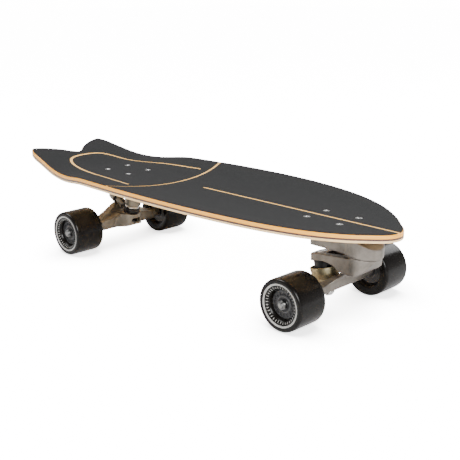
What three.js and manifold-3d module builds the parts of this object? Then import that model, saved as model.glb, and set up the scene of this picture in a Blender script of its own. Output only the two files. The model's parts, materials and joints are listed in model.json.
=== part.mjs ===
// Surf skateboard: a maple deck on a swinging front truck, a plain rear truck and four urethane wheels.
// Millimetres. +X to the nose, +Y to the rider's left, +Z up, origin on the floor under the middle.
import * as THREE from 'three';
import { mergeVertices } from 'three/addons/utils/BufferGeometryUtils.js';
import Module from 'manifold-3d';

const wasm = await Module();
wasm.setup();

// Deck
const DECK_LENGTH = 710;
const DECK_WIDTH = 246;
const TOP_PLIES = 5.3;
const DYED_PLY = 1.6;
const BOTTOM_PLIES = 3.1;
const GLUE_LINE = 0.1;
const GRIP_THICKNESS = 1;
const GRIP_INSET = 1.8;
const GROOVE_WIDTH = 5;
const CONCAVE_RISE = 9.8;
const TAIL_CONCAVE_RISE = 2.5;
const FADE_START_FROM_TAIL = 209;
const FADE_END_FROM_TAIL = 129;
const KICK_FROM_TAIL = 127;
const KICK_BLEND = 60;
const KICK_SLOPE_SHARE = 0.225;
const NOTCH_DEPTH = 38;
const NOTCH_WIDTH_SHARE = 0.553;
const ARC_APEX_X = 51.5;
const ARC_RADIUS = 255;
const STRINGER_END_X = 3;
const TAIL_LINE_FROM_TAIL = 55;
const TAIL_LINE_FROM_ARC = 29.5;
const TAIL_LINE_WIDTH_SHARE = 0.61;

// Deck bolts
const BOLT_SPACING_X = 54;
const BOLT_SPACING_Y = 41.3;
const BOLT_RADIUS = 2.4;
const BOLT_HEAD_RADIUS = 4.9;
const BOLT_HEAD_HEIGHT = 2.6;
const BOLT_TAIL = 1.5;
const DECK_BOLT_TAIL = 4;
const BOLT_NUT_RADIUS = 5;
const BOLT_NUT_HEIGHT = 3.8;
const NOSE_OVERHANG = 104.5;
const TAIL_OVERHANG = 176.5;

// Wheels, bearings and axles
const WHEEL_RADIUS = 35;
const WHEEL_WIDTH = 50;
const WHEEL_EDGE = 1.6;
const WHEEL_DISH_RADIUS = 22;
const CORE_RADIUS = 18.5;
const CORE_WIDTH = 33;
const BEARING_RADIUS = 11;
const BEARING_WIDTH = 7;
const BEARING_SHIELD_RECESS = 0.5;
const BEARING_INNER_RING = 6.4;
const AXLE_RADIUS = 4;
const AXLE_TAIL = 1.4;
const AXLE_NUT_RADIUS = 6.8;
const AXLE_NUT_HEIGHT = 5.2;
const TUBE_END_RADIUS = 6.5;
const TUBE_SHOULDER = 3;
const WING_CLEARANCE = 10;
const FRONT_TRACK = 230.6;
const REAR_TRACK = 236;

// Running gap between pieces, a wider one where urethane gives, and the overrun of a cut
const GAP = 0.3;
const CUT = 2;
const MOUTH_GAP = 3;

// Front truck
const FRONT_RISER = 2;
const FRONT_HEIGHT = 75.6;
const FRONT_AXLE_AHEAD = 9.8;
const PIVOT_AHEAD = 49.5;
const PIVOT_DROP = 23.1;
const PIVOT_TILT = THREE.MathUtils.degToRad(10);
const FLANGE_LENGTH = 78;
const FLANGE_WIDTH = 56;
const FLANGE_THICKNESS = 6;
const FLANGE_CORNER = 9;
const HOUSING_HALF_WIDTH = 26.4;
const HOUSING_TAIL = 17.5;
const HOUSING_CORNER = 4;
const HOUSING_DROP = 21;
const DRUM_RADIUS = 27.6;
const DRUM_RISE = 21.5;
const HUB_RADIUS = 11;
const HUB_HEIGHT = 10;
const HUB_FLOOR = 2.8;
const PIVOT_BOLT_RADIUS = 4;
const PIVOT_HEAD_RADIUS = 12;
const PIVOT_HEAD_HEIGHT = 5;
const RECESS_RADIUS = 14.5;
const ARM_REACH = 63.4;
const ARM_DEPTH = 27;
const ARM_DRUM_RADIUS = 25.4;
const ARM_TIP_RADIUS = 17;
const ARM_TIP_DEPTH = 10;
const ARM_PAD_DEPTH = 8.5;
const ARM_POCKET_LENGTH = 20;
const ARM_POCKET_HALF_WIDTH = 11;
const ARM_POCKET_CORNER = 5.5;
const THRUST_OUTER = 19;
const THRUST_THICKNESS = 2;
const JOINT_LINE = 0.8;
const SPRING_RADIUS = 3.6;
const SPRING_WIRE = 1.6;
const SPRING_TURNS = 7;
const SPRING_PITCH = 3.2;
const SPRING_DROP = 14.8;
const PLUNGER_RADIUS = 4.4;
const PLUNGER_LENGTH = 13;
const FRONT_KINGPIN_TILT = THREE.MathUtils.degToRad(13);
const FRONT_KINGPIN_RADIUS = 4.75;
const FRONT_BUSHING_RADIUS = 13.5;
const KINGPIN_SEAT_DROP = 45.6;
const FRONT_PIVOT_LEAD = 4;
const FRONT_PIVOT_DROP = 35.6;
const BOWL_STANDOFF = 10;
const BOWL_RADIUS = 20;
const BOWL_DEPTH = 22;
const BOWL_FOOT_RADIUS = 10;
const BOWL_WALL = 1.6;
const SEAT_RADIUS = 14;
const SEAT_THICKNESS = 5.5;
const ROAD_BUSHING_HEIGHT = 4.5;
const ROAD_BUSHING_RADIUS = 11;
const ROAD_WASHER_RADIUS = 11.5;
const CUP_WASHER_RADIUS = 12.5;
const CUP_WASHER_THICKNESS = 1.6;
const CUP_WASHER_LIP = 1.6;
const KINGPIN_NUT_RADIUS = 8;
const KINGPIN_NUT_HEIGHT = 4.5;
const KINGPIN_HEAD_RADIUS = 8;
const KINGPIN_HEAD_HEIGHT = 4;
const FRONT_TUBE_RADIUS = 7.5;
const STEM_LENGTH = 32;

// Rear truck
const REAR_HEIGHT = 70.2;
const REAR_AXLE_BEHIND = 17.2;
const REAR_KINGPIN_TILT = THREE.MathUtils.degToRad(16);
const REAR_KINGPIN_AHEAD = 9;
const REAR_SEAT_DROP = 37.7;
const REAR_KINGPIN_RADIUS = 4.75;
const REAR_STUD_DEPTH = 18;
const REAR_BOSS_RADIUS = 15;
const REAR_BOSS_HEIGHT = 30;
const REAR_BUSHING_RADIUS = 12.8;
const REAR_BUSHING_HEIGHT = 11;
const REAR_SEAT_THICKNESS = 7;
const REAR_ROAD_BUSHING = 7;
const REAR_PIVOT_BEHIND = 33.5;
const REAR_PIVOT_DROP = 31.2;
const REAR_PIVOT_BOSS = 10.5;
const REAR_TUBE_RADIUS = 9.6;
const REAR_STEM_LENGTH = 24;

// Pivot cups of both trucks
const PIVOT_BALL_RADIUS = 5;
const PIVOT_CUP_WALL = 2.1;
const PIVOT_CUP_DEPTH = 11;
const PIVOT_CUP_FLOOR = 1.5;
const PIVOT_STEM_RADIUS = 6.2;

// Heights and places that follow from these
const HALF_LENGTH = DECK_LENGTH / 2;
const HALF_WIDTH = DECK_WIDTH / 2;
const FRONT_BOLTS_X = HALF_LENGTH - NOSE_OVERHANG;
const REAR_BOLTS_X = TAIL_OVERHANG - HALF_LENGTH;
const FADE_START_X = FADE_START_FROM_TAIL - HALF_LENGTH;
const FADE_LENGTH = FADE_START_FROM_TAIL - FADE_END_FROM_TAIL;
const KICK_X = KICK_FROM_TAIL - HALF_LENGTH;
const NOTCH_HALF_WIDTH = HALF_WIDTH * NOTCH_WIDTH_SHARE;
const TAIL_LINE_START_X = -ARC_APEX_X - TAIL_LINE_FROM_ARC;
const TAIL_LINE_END_X = TAIL_LINE_FROM_TAIL - HALF_LENGTH;
const TAIL_LINE_HALF_WIDTH = HALF_WIDTH * TAIL_LINE_WIDTH_SHARE;
const DELTA_HALF_WIDTH = FRONT_TRACK / 2 - WHEEL_WIDTH - WING_CLEARANCE;
const REAR_WING_HALF_WIDTH = REAR_TRACK / 2 - WHEEL_WIDTH - WING_CLEARANCE;
const DECK_THICKNESS = TOP_PLIES + DYED_PLY + BOTTOM_PLIES + 2 * GLUE_LINE;
const FRONT_BASE_TOP = WHEEL_RADIUS + FRONT_HEIGHT;
const REAR_BASE_TOP = WHEEL_RADIUS + REAR_HEIGHT;
const DECK_UNDER = FRONT_BASE_TOP + FRONT_RISER + 2 * GAP;
const DECK_TOP = DECK_UNDER + DECK_THICKNESS;

// Turn a closed geometry into a solid: weld its corners and drop faces that have shrunk to a line
function solidOf(geometry) {
  const bare = geometry.clone();
  bare.deleteAttribute('normal');
  bare.deleteAttribute('uv');
  const merged = mergeVertices(bare);
  const corners = merged.index.array;
  const kept = [];
  for (let i = 0; i < corners.length; i += 3) {
    const [a, b, c] = [corners[i], corners[i + 1], corners[i + 2]];
    if (a !== b && b !== c && c !== a) kept.push(a, b, c);
  }
  const vertProperties = new Float32Array(merged.attributes.position.array);
  const triVerts = new Uint32Array(kept);
  return new wasm.Manifold(new wasm.Mesh({ numProp: 3, vertProperties, triVerts }));
}

function geometryOf(solid) {
  const mesh = solid.getMesh();
  const geometry = new THREE.BufferGeometry();
  geometry.setAttribute('position', new THREE.BufferAttribute(mesh.vertProperties, 3));
  geometry.setIndex(new THREE.BufferAttribute(mesh.triVerts, 1));
  geometry.computeVertexNormals();
  return geometry;
}

function join(first, ...others) {
  return others.reduce((sum, other) => sum.add(other), first);
}

function cut(first, ...others) {
  return others.reduce((rest, other) => rest.subtract(other), first);
}

function shapeOf(points) {
  return new THREE.Shape(points.map(([x, y]) => new THREE.Vector2(x, y)));
}

// A plan outline raised from one height to another
function raised(points, bottom, top, segments = 6) {
  const shape = points instanceof THREE.Shape ? points : shapeOf(points);
  const depth = top - bottom;
  const geometry = new THREE.ExtrudeGeometry(shape, { depth, bevelEnabled: false, curveSegments: segments });
  return solidOf(geometry.translate(0, 0, bottom));
}

// A side outline, in X and Z, made as thick as twice the half width across Y
function across(points, halfWidth, segments = 6) {
  const shape = points instanceof THREE.Shape ? points : shapeOf(points);
  const depth = 2 * halfWidth;
  const geometry = new THREE.ExtrudeGeometry(shape, { depth, bevelEnabled: false, curveSegments: segments });
  return solidOf(geometry.rotateX(Math.PI / 2).translate(0, halfWidth, 0));
}

// A profile of radius and height turned about the Z axis
function turned(profile, sides, twist = 0) {
  const points = profile.map(([radius, height]) => new THREE.Vector2(radius, height));
  const geometry = new THREE.LatheGeometry(points, sides).rotateX(Math.PI / 2);
  return solidOf(geometry.rotateZ(twist));
}

// Carry a solid made about the Z axis onto a point, leaning in the XZ plane
function placed(solid, x, z, tilt = 0) {
  const turn = new THREE.Matrix4().makeRotationY(tilt);
  turn.setPosition(x, 0, z);
  return solid.transform(turn.elements);
}

function shifted(solid, x, y, z) {
  return solid.translate([x, y, z]);
}

// A closed ring profile between two radii and two heights
function ring(inner, outer, bottom, top) {
  return [[inner, bottom], [outer, bottom], [outer, top], [inner, top], [inner, bottom]];
}

// A closed profile of a plain round bar
function bar(radius, bottom, top) {
  return [[0, bottom], [radius, bottom], [radius, top], [0, top]];
}

function finish(color, roughness, metalness) {
  return new THREE.MeshStandardMaterial({ color, roughness, metalness });
}

function named(name, solid, material) {
  const mesh = new THREE.Mesh(geometryOf(solid), material);
  mesh.name = name;
  return mesh;
}

// Materials, one call for each piece so that each keeps its own
const maple = () => finish(0xd9a05b, 0.45, 0);
const dyedMaple = () => finish(0x4a2a2c, 0.5, 0);
const paleMaple = () => finish(0xe6c79a, 0.5, 0);
const gripTape = () => finish(0x2b2c2d, 0.95, 0);
const castGrey = () => finish(0xa39b90, 0.5, 0.8);
const castBrown = () => finish(0x7a7065, 0.5, 0.8);
const yellowZinc = () => finish(0xa38f45, 0.35, 0.9);
const brightSteel = () => finish(0xc0c2c4, 0.3, 1);
const blackUrethane = () => finish(0x151312, 0.25, 0);
const blackRubber = () => finish(0x1b1a1a, 0.5, 0);
const blackPlastic = () => finish(0x1d1d1f, 0.55, 0);
const springSteel = () => finish(0x55585c, 0.35, 0.9);

// Deck outline: shares of the length back from the nose, and of half the width
const RAIL_SHARES = [
  [0, 0], [0.0296, 0.285], [0.0577, 0.4455], [0.1141, 0.6667], [0.1704, 0.8008], [0.2268, 0.8854],
  [0.3113, 0.9593], [0.3958, 0.9927], [0.4718, 1], [0.5648, 0.9878], [0.6493, 0.9561], [0.7056, 0.9301],
  [0.762, 0.8813], [0.8183, 0.8089], [0.8746, 0.7439], [0.931, 0.683], [0.969, 0.65],
];
const RAIL_STEPS = 21;

// Swallow tail: shares of the notch depth in from the tail, and of the notch's half width
const NOTCH_SHARES = [
  [0.026, 0.88], [0.158, 0.676], [0.342, 0.485], [0.579, 0.294], [0.79, 0.18], [0.95, 0.07],
];

// Bare line round the tail: shares of its run back from its start, and of its half width
const TAIL_LINE_SHARES = [
  [0, 1], [0.224, 0.937], [0.416, 0.86], [0.598, 0.753], [0.744, 0.667], [0.858, 0.6],
  [0.932, 0.507], [0.977, 0.373], [0.998, 0.16],
];

const SLAB_ROWS = 6;
const FADE_STEPS = 4;
const KICK_STEPS = 5;

function easedStep(share) {
  const t = Math.min(1, Math.max(0, share));
  return t * t * (3 - 2 * t);
}

// A smooth line through a table of pairs, with the slope at each pair taken from its neighbours
function throughTable(table, at) {
  const last = table.length - 1;
  const slope = (i) => {
    const [x0, y0] = table[Math.max(0, i - 1)];
    const [x1, y1] = table[Math.min(last, i + 1)];
    return (y1 - y0) / (x1 - x0);
  };
  let i = 0;
  while (i < last - 1 && at > table[i + 1][0]) i += 1;
  const run = table[i + 1][0] - table[i][0];
  const t = (at - table[i][0]) / run;
  const keep = easedStep(t);
  const startPull = t * (1 - t) ** 2;
  const endPull = t * t * (t - 1);
  const level = table[i][1] * (1 - keep) + table[i + 1][1] * keep;
  return level + run * (slope(i) * startPull + slope(i + 1) * endPull);
}

// Half the deck's width at a share of the length from the nose; the root keeps the blunt nose round
const RAIL_ROOTS = RAIL_SHARES.map(([along, wide]) => [Math.sqrt(along), wide]);

function railPoint(root) {
  const x = HALF_LENGTH - DECK_LENGTH * root * root;
  return [x, HALF_WIDTH * throughTable(RAIL_ROOTS, root)];
}

function tailPoint([deep, wide]) {
  return [-HALF_LENGTH + NOTCH_DEPTH * deep, NOTCH_HALF_WIDTH * wide];
}

// One side of the outline, nose to notch, then mirrored, and drawn in by an inset
function deckOutline(inset) {
  const side = [];
  const lastRoot = RAIL_ROOTS[RAIL_ROOTS.length - 1][0];
  for (let i = 1; i <= RAIL_STEPS; i += 1) side.push(railPoint(lastRoot * (i / RAIL_STEPS)));
  const [railX, railY] = side[side.length - 1];
  const corner = new THREE.QuadraticBezierCurve(
    new THREE.Vector2(railX, railY),
    new THREE.Vector2(-HALF_LENGTH, (railY + NOTCH_HALF_WIDTH) / 2 + inset),
    new THREE.Vector2(...tailPoint([0, 1])),
  );
  corner.getPoints(4).slice(1).forEach((p) => side.push([p.x, p.y]));
  NOTCH_SHARES.forEach((share) => side.push(tailPoint(share)));
  const mirrored = side.map(([x, y]) => [x, -y]).reverse();
  const loop = [[HALF_LENGTH, 0], ...side, tailPoint([1, 0]), ...mirrored];
  return loop.map((point, i) => {
    const [ax, ay] = loop[(i + loop.length - 1) % loop.length];
    const [bx, by] = loop[(i + 1) % loop.length];
    const length = Math.hypot(bx - ax, by - ay);
    return [point[0] - inset * ((by - ay) / length), point[1] + inset * ((bx - ax) / length)];
  });
}

// Shape of the deck's surface: concave across, flat along, with a kicked tail
function kickAt(x) {
  const behind = KICK_X - x;
  if (behind <= 0) return 0;
  if (behind < KICK_BLEND) return (KICK_SLOPE_SHARE * behind * behind) / (2 * KICK_BLEND);
  return KICK_SLOPE_SHARE * (behind - KICK_BLEND / 2);
}

function surfaceAt(x, y) {
  const fade = easedStep((FADE_START_X - x) / FADE_LENGTH);
  const rise = CONCAVE_RISE + (TAIL_CONCAVE_RISE - CONCAVE_RISE) * fade;
  return DECK_TOP + kickAt(x) + rise * (y / HALF_WIDTH) ** 2;
}

function slabStations() {
  const stations = [HALF_LENGTH + CUT];
  for (let i = 0; i <= FADE_STEPS; i += 1) {
    stations.push(FADE_START_X - (FADE_LENGTH * i) / FADE_STEPS);
  }
  for (let i = 1; i <= KICK_STEPS; i += 1) stations.push(KICK_X - (KICK_BLEND * i) / KICK_STEPS);
  stations.push(-HALF_LENGTH - CUT);
  return stations;
}

// A curved slab between two depths under the deck's top surface
function slab(upper, lower) {
  const stations = slabStations();
  const rows = [];
  for (let j = 0; j <= SLAB_ROWS; j += 1) rows.push((HALF_WIDTH + CUT) * ((2 * j) / SLAB_ROWS - 1));
  const positions = [];
  [lower, upper].forEach((offset) => {
    stations.forEach((x) => rows.forEach((y) => positions.push(x, y, surfaceAt(x, y) + offset)));
  });
  const rowCount = rows.length;
  const layer = stations.length * rowCount;
  const indices = [];
  const quad = (a, b, c, d) => indices.push(a, b, c, a, c, d);
  for (let i = 0; i < stations.length - 1; i += 1) {
    for (let j = 0; j < rowCount - 1; j += 1) {
      const a = i * rowCount + j;
      const b = a + rowCount;
      quad(layer + a, layer + a + 1, layer + b + 1, layer + b);
      quad(a, b, b + 1, a + 1);
    }
    const right = i * rowCount;
    const left = right + rowCount - 1;
    quad(right, layer + right, layer + right + rowCount, right + rowCount);
    quad(left + rowCount, layer + left + rowCount, layer + left, left);
  }
  const end = layer - rowCount;
  for (let j = 0; j < rowCount - 1; j += 1) {
    quad(j + 1, layer + j + 1, layer + j, j);
    quad(end + j, layer + end + j, layer + end + j + 1, end + j + 1);
  }
  const geometry = new THREE.BufferGeometry();
  geometry.setAttribute('position', new THREE.Float32BufferAttribute(positions, 3));
  geometry.setIndex(indices);
  return solidOf(geometry);
}

const DECK_CEILING = DECK_TOP + NOTCH_DEPTH + CONCAVE_RISE;

function outlineBlock(inset) {
  return raised(deckOutline(inset), DECK_UNDER - DECK_THICKNESS, DECK_CEILING);
}

// Deck bolts: where each one stands, and how low its nut seats
const FRONT_FLANGE_UNDER = FRONT_BASE_TOP - FLANGE_THICKNESS;
const REAR_FLANGE_UNDER = REAR_BASE_TOP - FLANGE_THICKNESS;
const BOLT_SIDES = 8;

function boltSpots(centreX) {
  const spots = [];
  [1, -1].forEach((ahead) => [1, -1].forEach((left) => {
    spots.push([centreX + (ahead * BOLT_SPACING_X) / 2, (left * BOLT_SPACING_Y) / 2]);
  }));
  return spots;
}

// Head, neck and shank of a bolt, grown by a clearance when it serves as a cutter
function boltBar(x, y, bottom, grow) {
  const head = surfaceAt(x, y) + GRIP_THICKNESS;
  const neck = head - BOLT_HEAD_HEIGHT;
  const profile = [[0, bottom], [BOLT_RADIUS + grow, bottom], [BOLT_RADIUS + grow, neck],
    [BOLT_HEAD_RADIUS + grow, head - GAP], [BOLT_HEAD_RADIUS + grow, head + grow], [0, head + grow]];
  return shifted(turned(profile, BOLT_SIDES), x, y, 0);
}

function boltHoles(centreX, bottom) {
  return boltSpots(centreX).map(([x, y]) => boltBar(x, y, bottom, GAP));
}

function deckBolt(name, x, y, flangeUnder) {
  const nutTop = flangeUnder - GAP;
  const nutBottom = nutTop - BOLT_NUT_HEIGHT;
  const nut = shifted(turned(bar(BOLT_NUT_RADIUS, nutBottom, nutTop), 6), x, y, 0);
  const shank = boltBar(x, y, nutBottom - DECK_BOLT_TAIL, 0);
  return named(name, join(shank, nut), brightSteel());
}

// Bare lines in the grip tape
const LINE_STEPS = 30;
const ARC_SIDES = 72;

function lineBand(points, width) {
  const line = new THREE.SplineCurve(points.map(([x, y]) => new THREE.Vector2(x, y)));
  const run = line.getSpacedPoints(LINE_STEPS);
  const edge = (side) => run.map((p, i) => {
    const a = run[Math.max(0, i - 1)];
    const b = run[Math.min(run.length - 1, i + 1)];
    const away = new THREE.Vector2(a.y - b.y, b.x - a.x).setLength((side * width) / 2);
    return [p.x + away.x, p.y + away.y];
  });
  return [...edge(1), ...edge(-1).reverse()];
}

function tailLine() {
  const run = TAIL_LINE_START_X - TAIL_LINE_END_X;
  const side = TAIL_LINE_SHARES.map(([back, wide]) => [
    TAIL_LINE_START_X - run * back, TAIL_LINE_HALF_WIDTH * wide]);
  return [...side, [TAIL_LINE_END_X, 0], ...side.map(([x, y]) => [x, -y]).reverse()];
}

function highBlock(points) {
  return raised(points, DECK_UNDER, DECK_CEILING);
}

function disc(centreX, radius) {
  return shifted(turned(bar(radius, DECK_UNDER, DECK_CEILING), ARC_SIDES), centreX, 0, 0);
}

// The deck's three visible layers and the two sheets of grip tape
function makeDeck() {
  const outline = outlineBlock(0);
  const holes = [
    ...boltHoles(FRONT_BOLTS_X, FRONT_FLANGE_UNDER),
    ...boltHoles(REAR_BOLTS_X, REAR_FLANGE_UNDER),
  ];
  const layer = (name, upper, lower, material) => {
    const sheet = slab(upper, lower).intersect(outline);
    return named(name, cut(sheet, ...holes), material);
  };
  const dyedTop = -TOP_PLIES - GLUE_LINE;
  const paleTop = dyedTop - DYED_PLY - GLUE_LINE;
  const plies = [
    layer('deck_top_plies', 0, -TOP_PLIES, maple()),
    layer('deck_dyed_ply', dyedTop, dyedTop - DYED_PLY, dyedMaple()),
    layer('deck_bottom_plies', paleTop, -DECK_THICKNESS, paleMaple()),
  ];
  const tape = cut(slab(GLUE_LINE + GRIP_THICKNESS, GLUE_LINE).intersect(outlineBlock(GRIP_INSET)), ...holes);
  const arcCentre = -ARC_APEX_X - ARC_RADIUS;
  const halfGroove = GROOVE_WIDTH / 2;
  const stringer = highBlock([[STRINGER_END_X, -halfGroove], [HALF_LENGTH + CUT, -halfGroove],
    [HALF_LENGTH + CUT, halfGroove], [STRINGER_END_X, halfGroove]]);
  const front = cut(tape, disc(arcCentre, ARC_RADIUS + halfGroove), stringer);
  const inside = tape.intersect(disc(arcCentre, ARC_RADIUS - halfGroove));
  const rear = cut(inside, highBlock(lineBand(tailLine(), GROOVE_WIDTH)));
  return [...plies, named('front_grip', front, gripTape()), named('rear_grip', rear, gripTape())];
}

const CORNER_STEPS = 3;

// A plate with round corners, as a plan outline
function roundedPlate(length, width, corner) {
  const [x, y] = [length / 2 - corner, width / 2 - corner];
  const shape = new THREE.Shape();
  shape.absarc(x, y, corner, 0, Math.PI / 2);
  shape.absarc(-x, y, corner, Math.PI / 2, Math.PI);
  shape.absarc(-x, -y, corner, Math.PI, 1.5 * Math.PI);
  shape.absarc(x, -y, corner, 1.5 * Math.PI, 2 * Math.PI);
  return shape;
}

function flangePlate(bottom, top) {
  return raised(roundedPlate(FLANGE_LENGTH, FLANGE_WIDTH, FLANGE_CORNER), bottom, top, CORNER_STEPS);
}

function riser(name, centreX, bottom, top) {
  const plate = shifted(flangePlate(bottom, top), centreX, 0, 0);
  return named(name, cut(plate, ...boltHoles(centreX, bottom - CUT)), blackPlastic());
}

const board = new THREE.Group();
board.add(...makeDeck());
board.add(riser('front_riser', FRONT_BOLTS_X, FRONT_BASE_TOP + GAP, DECK_UNDER - GAP));
board.add(riser('rear_riser', REAR_BOLTS_X, REAR_BASE_TOP + GAP, DECK_UNDER - GAP));
boltSpots(FRONT_BOLTS_X).forEach(([x, y], i) => {
  board.add(deckBolt(`front_deck_bolt_${i + 1}`, x, y, FRONT_FLANGE_UNDER));
});
boltSpots(REAR_BOLTS_X).forEach(([x, y], i) => {
  board.add(deckBolt(`rear_deck_bolt_${i + 1}`, x, y, REAR_FLANGE_UNDER));
});

// A point in a truck's side view, measured from the middle of its base plate's top
function along(from, tilt, up) {
  return [from[0] + up * Math.sin(tilt), from[1] + up * Math.cos(tilt)];
}

// Tilt from the vertical of the line between two side-view points
const PLAN_STEPS = 8;

function tiltBetween(low, high) {
  return Math.atan2(high[0] - low[0], high[1] - low[1]);
}

// A solid that takes an outline in side view and another in plan
function carved(side, plan, halfWidth) {
  const drop = FRONT_BASE_TOP;
  return across(side, halfWidth).intersect(raised(plan, -drop, drop, PLAN_STEPS));
}

// An outline in front view, in Y and Z, from one X to another
function faced(points, back, front) {
  const flat = raised(points.map(([y, z]) => [-z, y]), back, front);
  return placed(flat, 0, 0, Math.PI / 2);
}

// Both sides of an outline in front view, given as one side from the top middle down
function mirroredFace(side) {
  return [...side, ...side.map(([y, z]) => [-y, z]).reverse()];
}

// Plan outline round two circles on the centre line, with straight flanks
function tearPlan(bigX, bigRadius, smallX, smallRadius) {
  const flank = Math.acos((smallRadius - bigRadius) / (bigX - smallX));
  const shape = new THREE.Shape();
  shape.absarc(bigX, 0, bigRadius, -flank, flank);
  shape.absarc(smallX, 0, smallRadius, flank, 2 * Math.PI - flank);
  return shape;
}

// A round bar along Y through a side-view point
function crossBar(radius, halfLength, x, z, sides, twist = 0) {
  const rod = turned(bar(radius, -halfLength, halfLength), sides, twist);
  return shifted(rod.rotate([90, 0, 0]), x, 0, z);
}

// Heights along a kingpin, measured up from the seat it hangs from, for what it carries in turn:
// a washer above the bushing, the bushing, a bowl under it, the hanger's ring, bushing, washer and nut
function kingpinStack({ above, bushing, below, ringSeat, roadBushing }) {
  const bushingTop = -GAP - above;
  const bushingBottom = bushingTop - bushing;
  const ringTop = bushingBottom - GAP - below;
  const ringBottom = ringTop - ringSeat;
  const roadTop = ringBottom - GAP;
  const roadBottom = roadTop - roadBushing;
  const washerTop = roadBottom - GAP;
  const nutTop = washerTop - CUP_WASHER_THICKNESS - GAP;
  const nutBottom = nutTop - KINGPIN_NUT_HEIGHT;
  const end = nutBottom - BOLT_TAIL;
  return {
    bushingTop, bushingBottom, ringTop, ringBottom, roadTop, roadBottom, washerTop, nutTop, nutBottom, end,
  };
}

const KINGPIN_SIDES = 16;
const ROUND_SIDES = 22;
const DRUM_SIDES = 32;

// A cup washer over a bushing, its lip turned down round it
function cupWasher(name, hole, seatSide, material, place) {
  const face = seatSide - CUP_WASHER_THICKNESS;
  const lip = face - CUP_WASHER_LIP;
  const inner = CUP_WASHER_RADIUS - CUP_WASHER_THICKNESS;
  const profile = [[hole, seatSide], [hole, face], [inner, face], [inner, lip], [CUP_WASHER_RADIUS, lip],
    [CUP_WASHER_RADIUS, face], [inner, seatSide], [hole, seatSide]];
  return named(name, place(turned(profile, ROUND_SIDES)), material);
}

const NUT_SIDES = 6;

function hexNut(name, hole, radius, bottom, top, place) {
  const bore = turned(bar(hole, bottom - CUT, top + CUT), KINGPIN_SIDES);
  return named(name, place(cut(turned(bar(radius, bottom, top), NUT_SIDES), bore)), brightSteel());
}

// Cup that a hanger's pivot sits in: open end down, floor past the ball
const CUP_FLOOR = PIVOT_BALL_RADIUS + GAP;
const CUP_OUTER = CUP_FLOOR + PIVOT_CUP_WALL;
const CUP_TOP = CUP_FLOOR + PIVOT_CUP_FLOOR;
const CUP_MOUTH = CUP_TOP - PIVOT_CUP_DEPTH;

function pivotCup(name, place) {
  const profile = [[0, CUP_FLOOR], [CUP_FLOOR, CUP_FLOOR], [CUP_FLOOR, CUP_MOUTH], [CUP_OUTER, CUP_MOUTH],
    [CUP_OUTER, CUP_TOP], [0, CUP_TOP]];
  return named(name, place(turned(profile, KINGPIN_SIDES)), blackPlastic());
}

// Bore for the pivot cup, with a mouth that lets the hanger lean
function cupBore(reach) {
  const wide = CUP_OUTER + MOUTH_GAP;
  return turned([[0, CUP_MOUTH - reach], [wide, CUP_MOUTH - reach], [CUP_OUTER + GAP, CUP_MOUTH],
    [CUP_OUTER + GAP, CUP_TOP + GAP], [0, CUP_TOP + GAP]], KINGPIN_SIDES);
}

// The hanger's pivot, from its shoulder up to the ball in the cup
function pivotStem(length) {
  return turned([[0, -length], [PIVOT_STEM_RADIUS, -length], [PIVOT_STEM_RADIUS, CUP_MOUTH - 2 * GAP],
    [PIVOT_BALL_RADIUS, CUP_MOUTH - GAP], [PIVOT_BALL_RADIUS, PIVOT_BALL_RADIUS / 2],
    [PIVOT_BALL_RADIUS / 2, PIVOT_BALL_RADIUS], [0, PIVOT_BALL_RADIUS]], KINGPIN_SIDES);
}

// Front truck, measured from the middle of its base plate's top
const PIVOT = [PIVOT_AHEAD, -PIVOT_DROP];

// The drum's top falls away to the nose: shares of its radius ahead of the pivot and down
const NOSE_SHARES = [[1, 0.42], [0.42, 0.1], [0.2, 0]];

function atPivot(solid) {
  return placed(solid, PIVOT[0], PIVOT[1], PIVOT_TILT);
}

const SPRING_LENGTH = SPRING_TURNS * SPRING_PITCH + 2 * SPRING_WIRE;
const PLUNGER_TIP = PIVOT_AHEAD + (PIVOT_DROP - SPRING_DROP) * Math.tan(PIVOT_TILT)
  - HUB_RADIUS / Math.cos(PIVOT_TILT) - 3 * GAP;
const PLUNGER_END = PLUNGER_TIP - PLUNGER_LENGTH;
const SPRING_END = PLUNGER_END - GAP - SPRING_LENGTH;

// Solid made about Z, laid along X with its zero at a place on the spring's line
function onSpringLine(solid, x) {
  return placed(solid, x, -SPRING_DROP, Math.PI / 2);
}

// Height of the joint between housing and arm at a place along the truck
function jointAt(x) {
  return -PIVOT_DROP - (x - PIVOT_AHEAD) * Math.tan(PIVOT_TILT);
}

function housingBody() {
  const nose = PIVOT_AHEAD + DRUM_RADIUS;
  const stepX = PIVOT_AHEAD - Math.sqrt(DRUM_RADIUS ** 2 - HOUSING_HALF_WIDTH ** 2);
  const side = [[-HOUSING_TAIL, 0], [-HOUSING_TAIL, -HOUSING_DROP],
    [stepX, jointAt(stepX)], [nose, jointAt(nose)],
    ...NOSE_SHARES.map(([ahead, down]) => [PIVOT_AHEAD + DRUM_RADIUS * ahead, -DRUM_RADIUS * down])];
  const length = PIVOT_AHEAD + HOUSING_TAIL + HOUSING_CORNER;
  const outline = roundedPlate(length, 2 * HOUSING_HALF_WIDTH, HOUSING_CORNER);
  const box = raised(outline, -FRONT_BASE_TOP, 0, CORNER_STEPS);
  const drum = turned(bar(DRUM_RADIUS, -FRONT_BASE_TOP, 0), DRUM_SIDES);
  const plan = join(shifted(box, length / 2 - HOUSING_TAIL, 0, 0), shifted(drum, PIVOT_AHEAD, 0, 0));
  return across(side, DRUM_RADIUS + CUT).intersect(plan);
}

const ARM_PAD_RADIUS = THRUST_OUTER + THRUST_THICKNESS;

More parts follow.
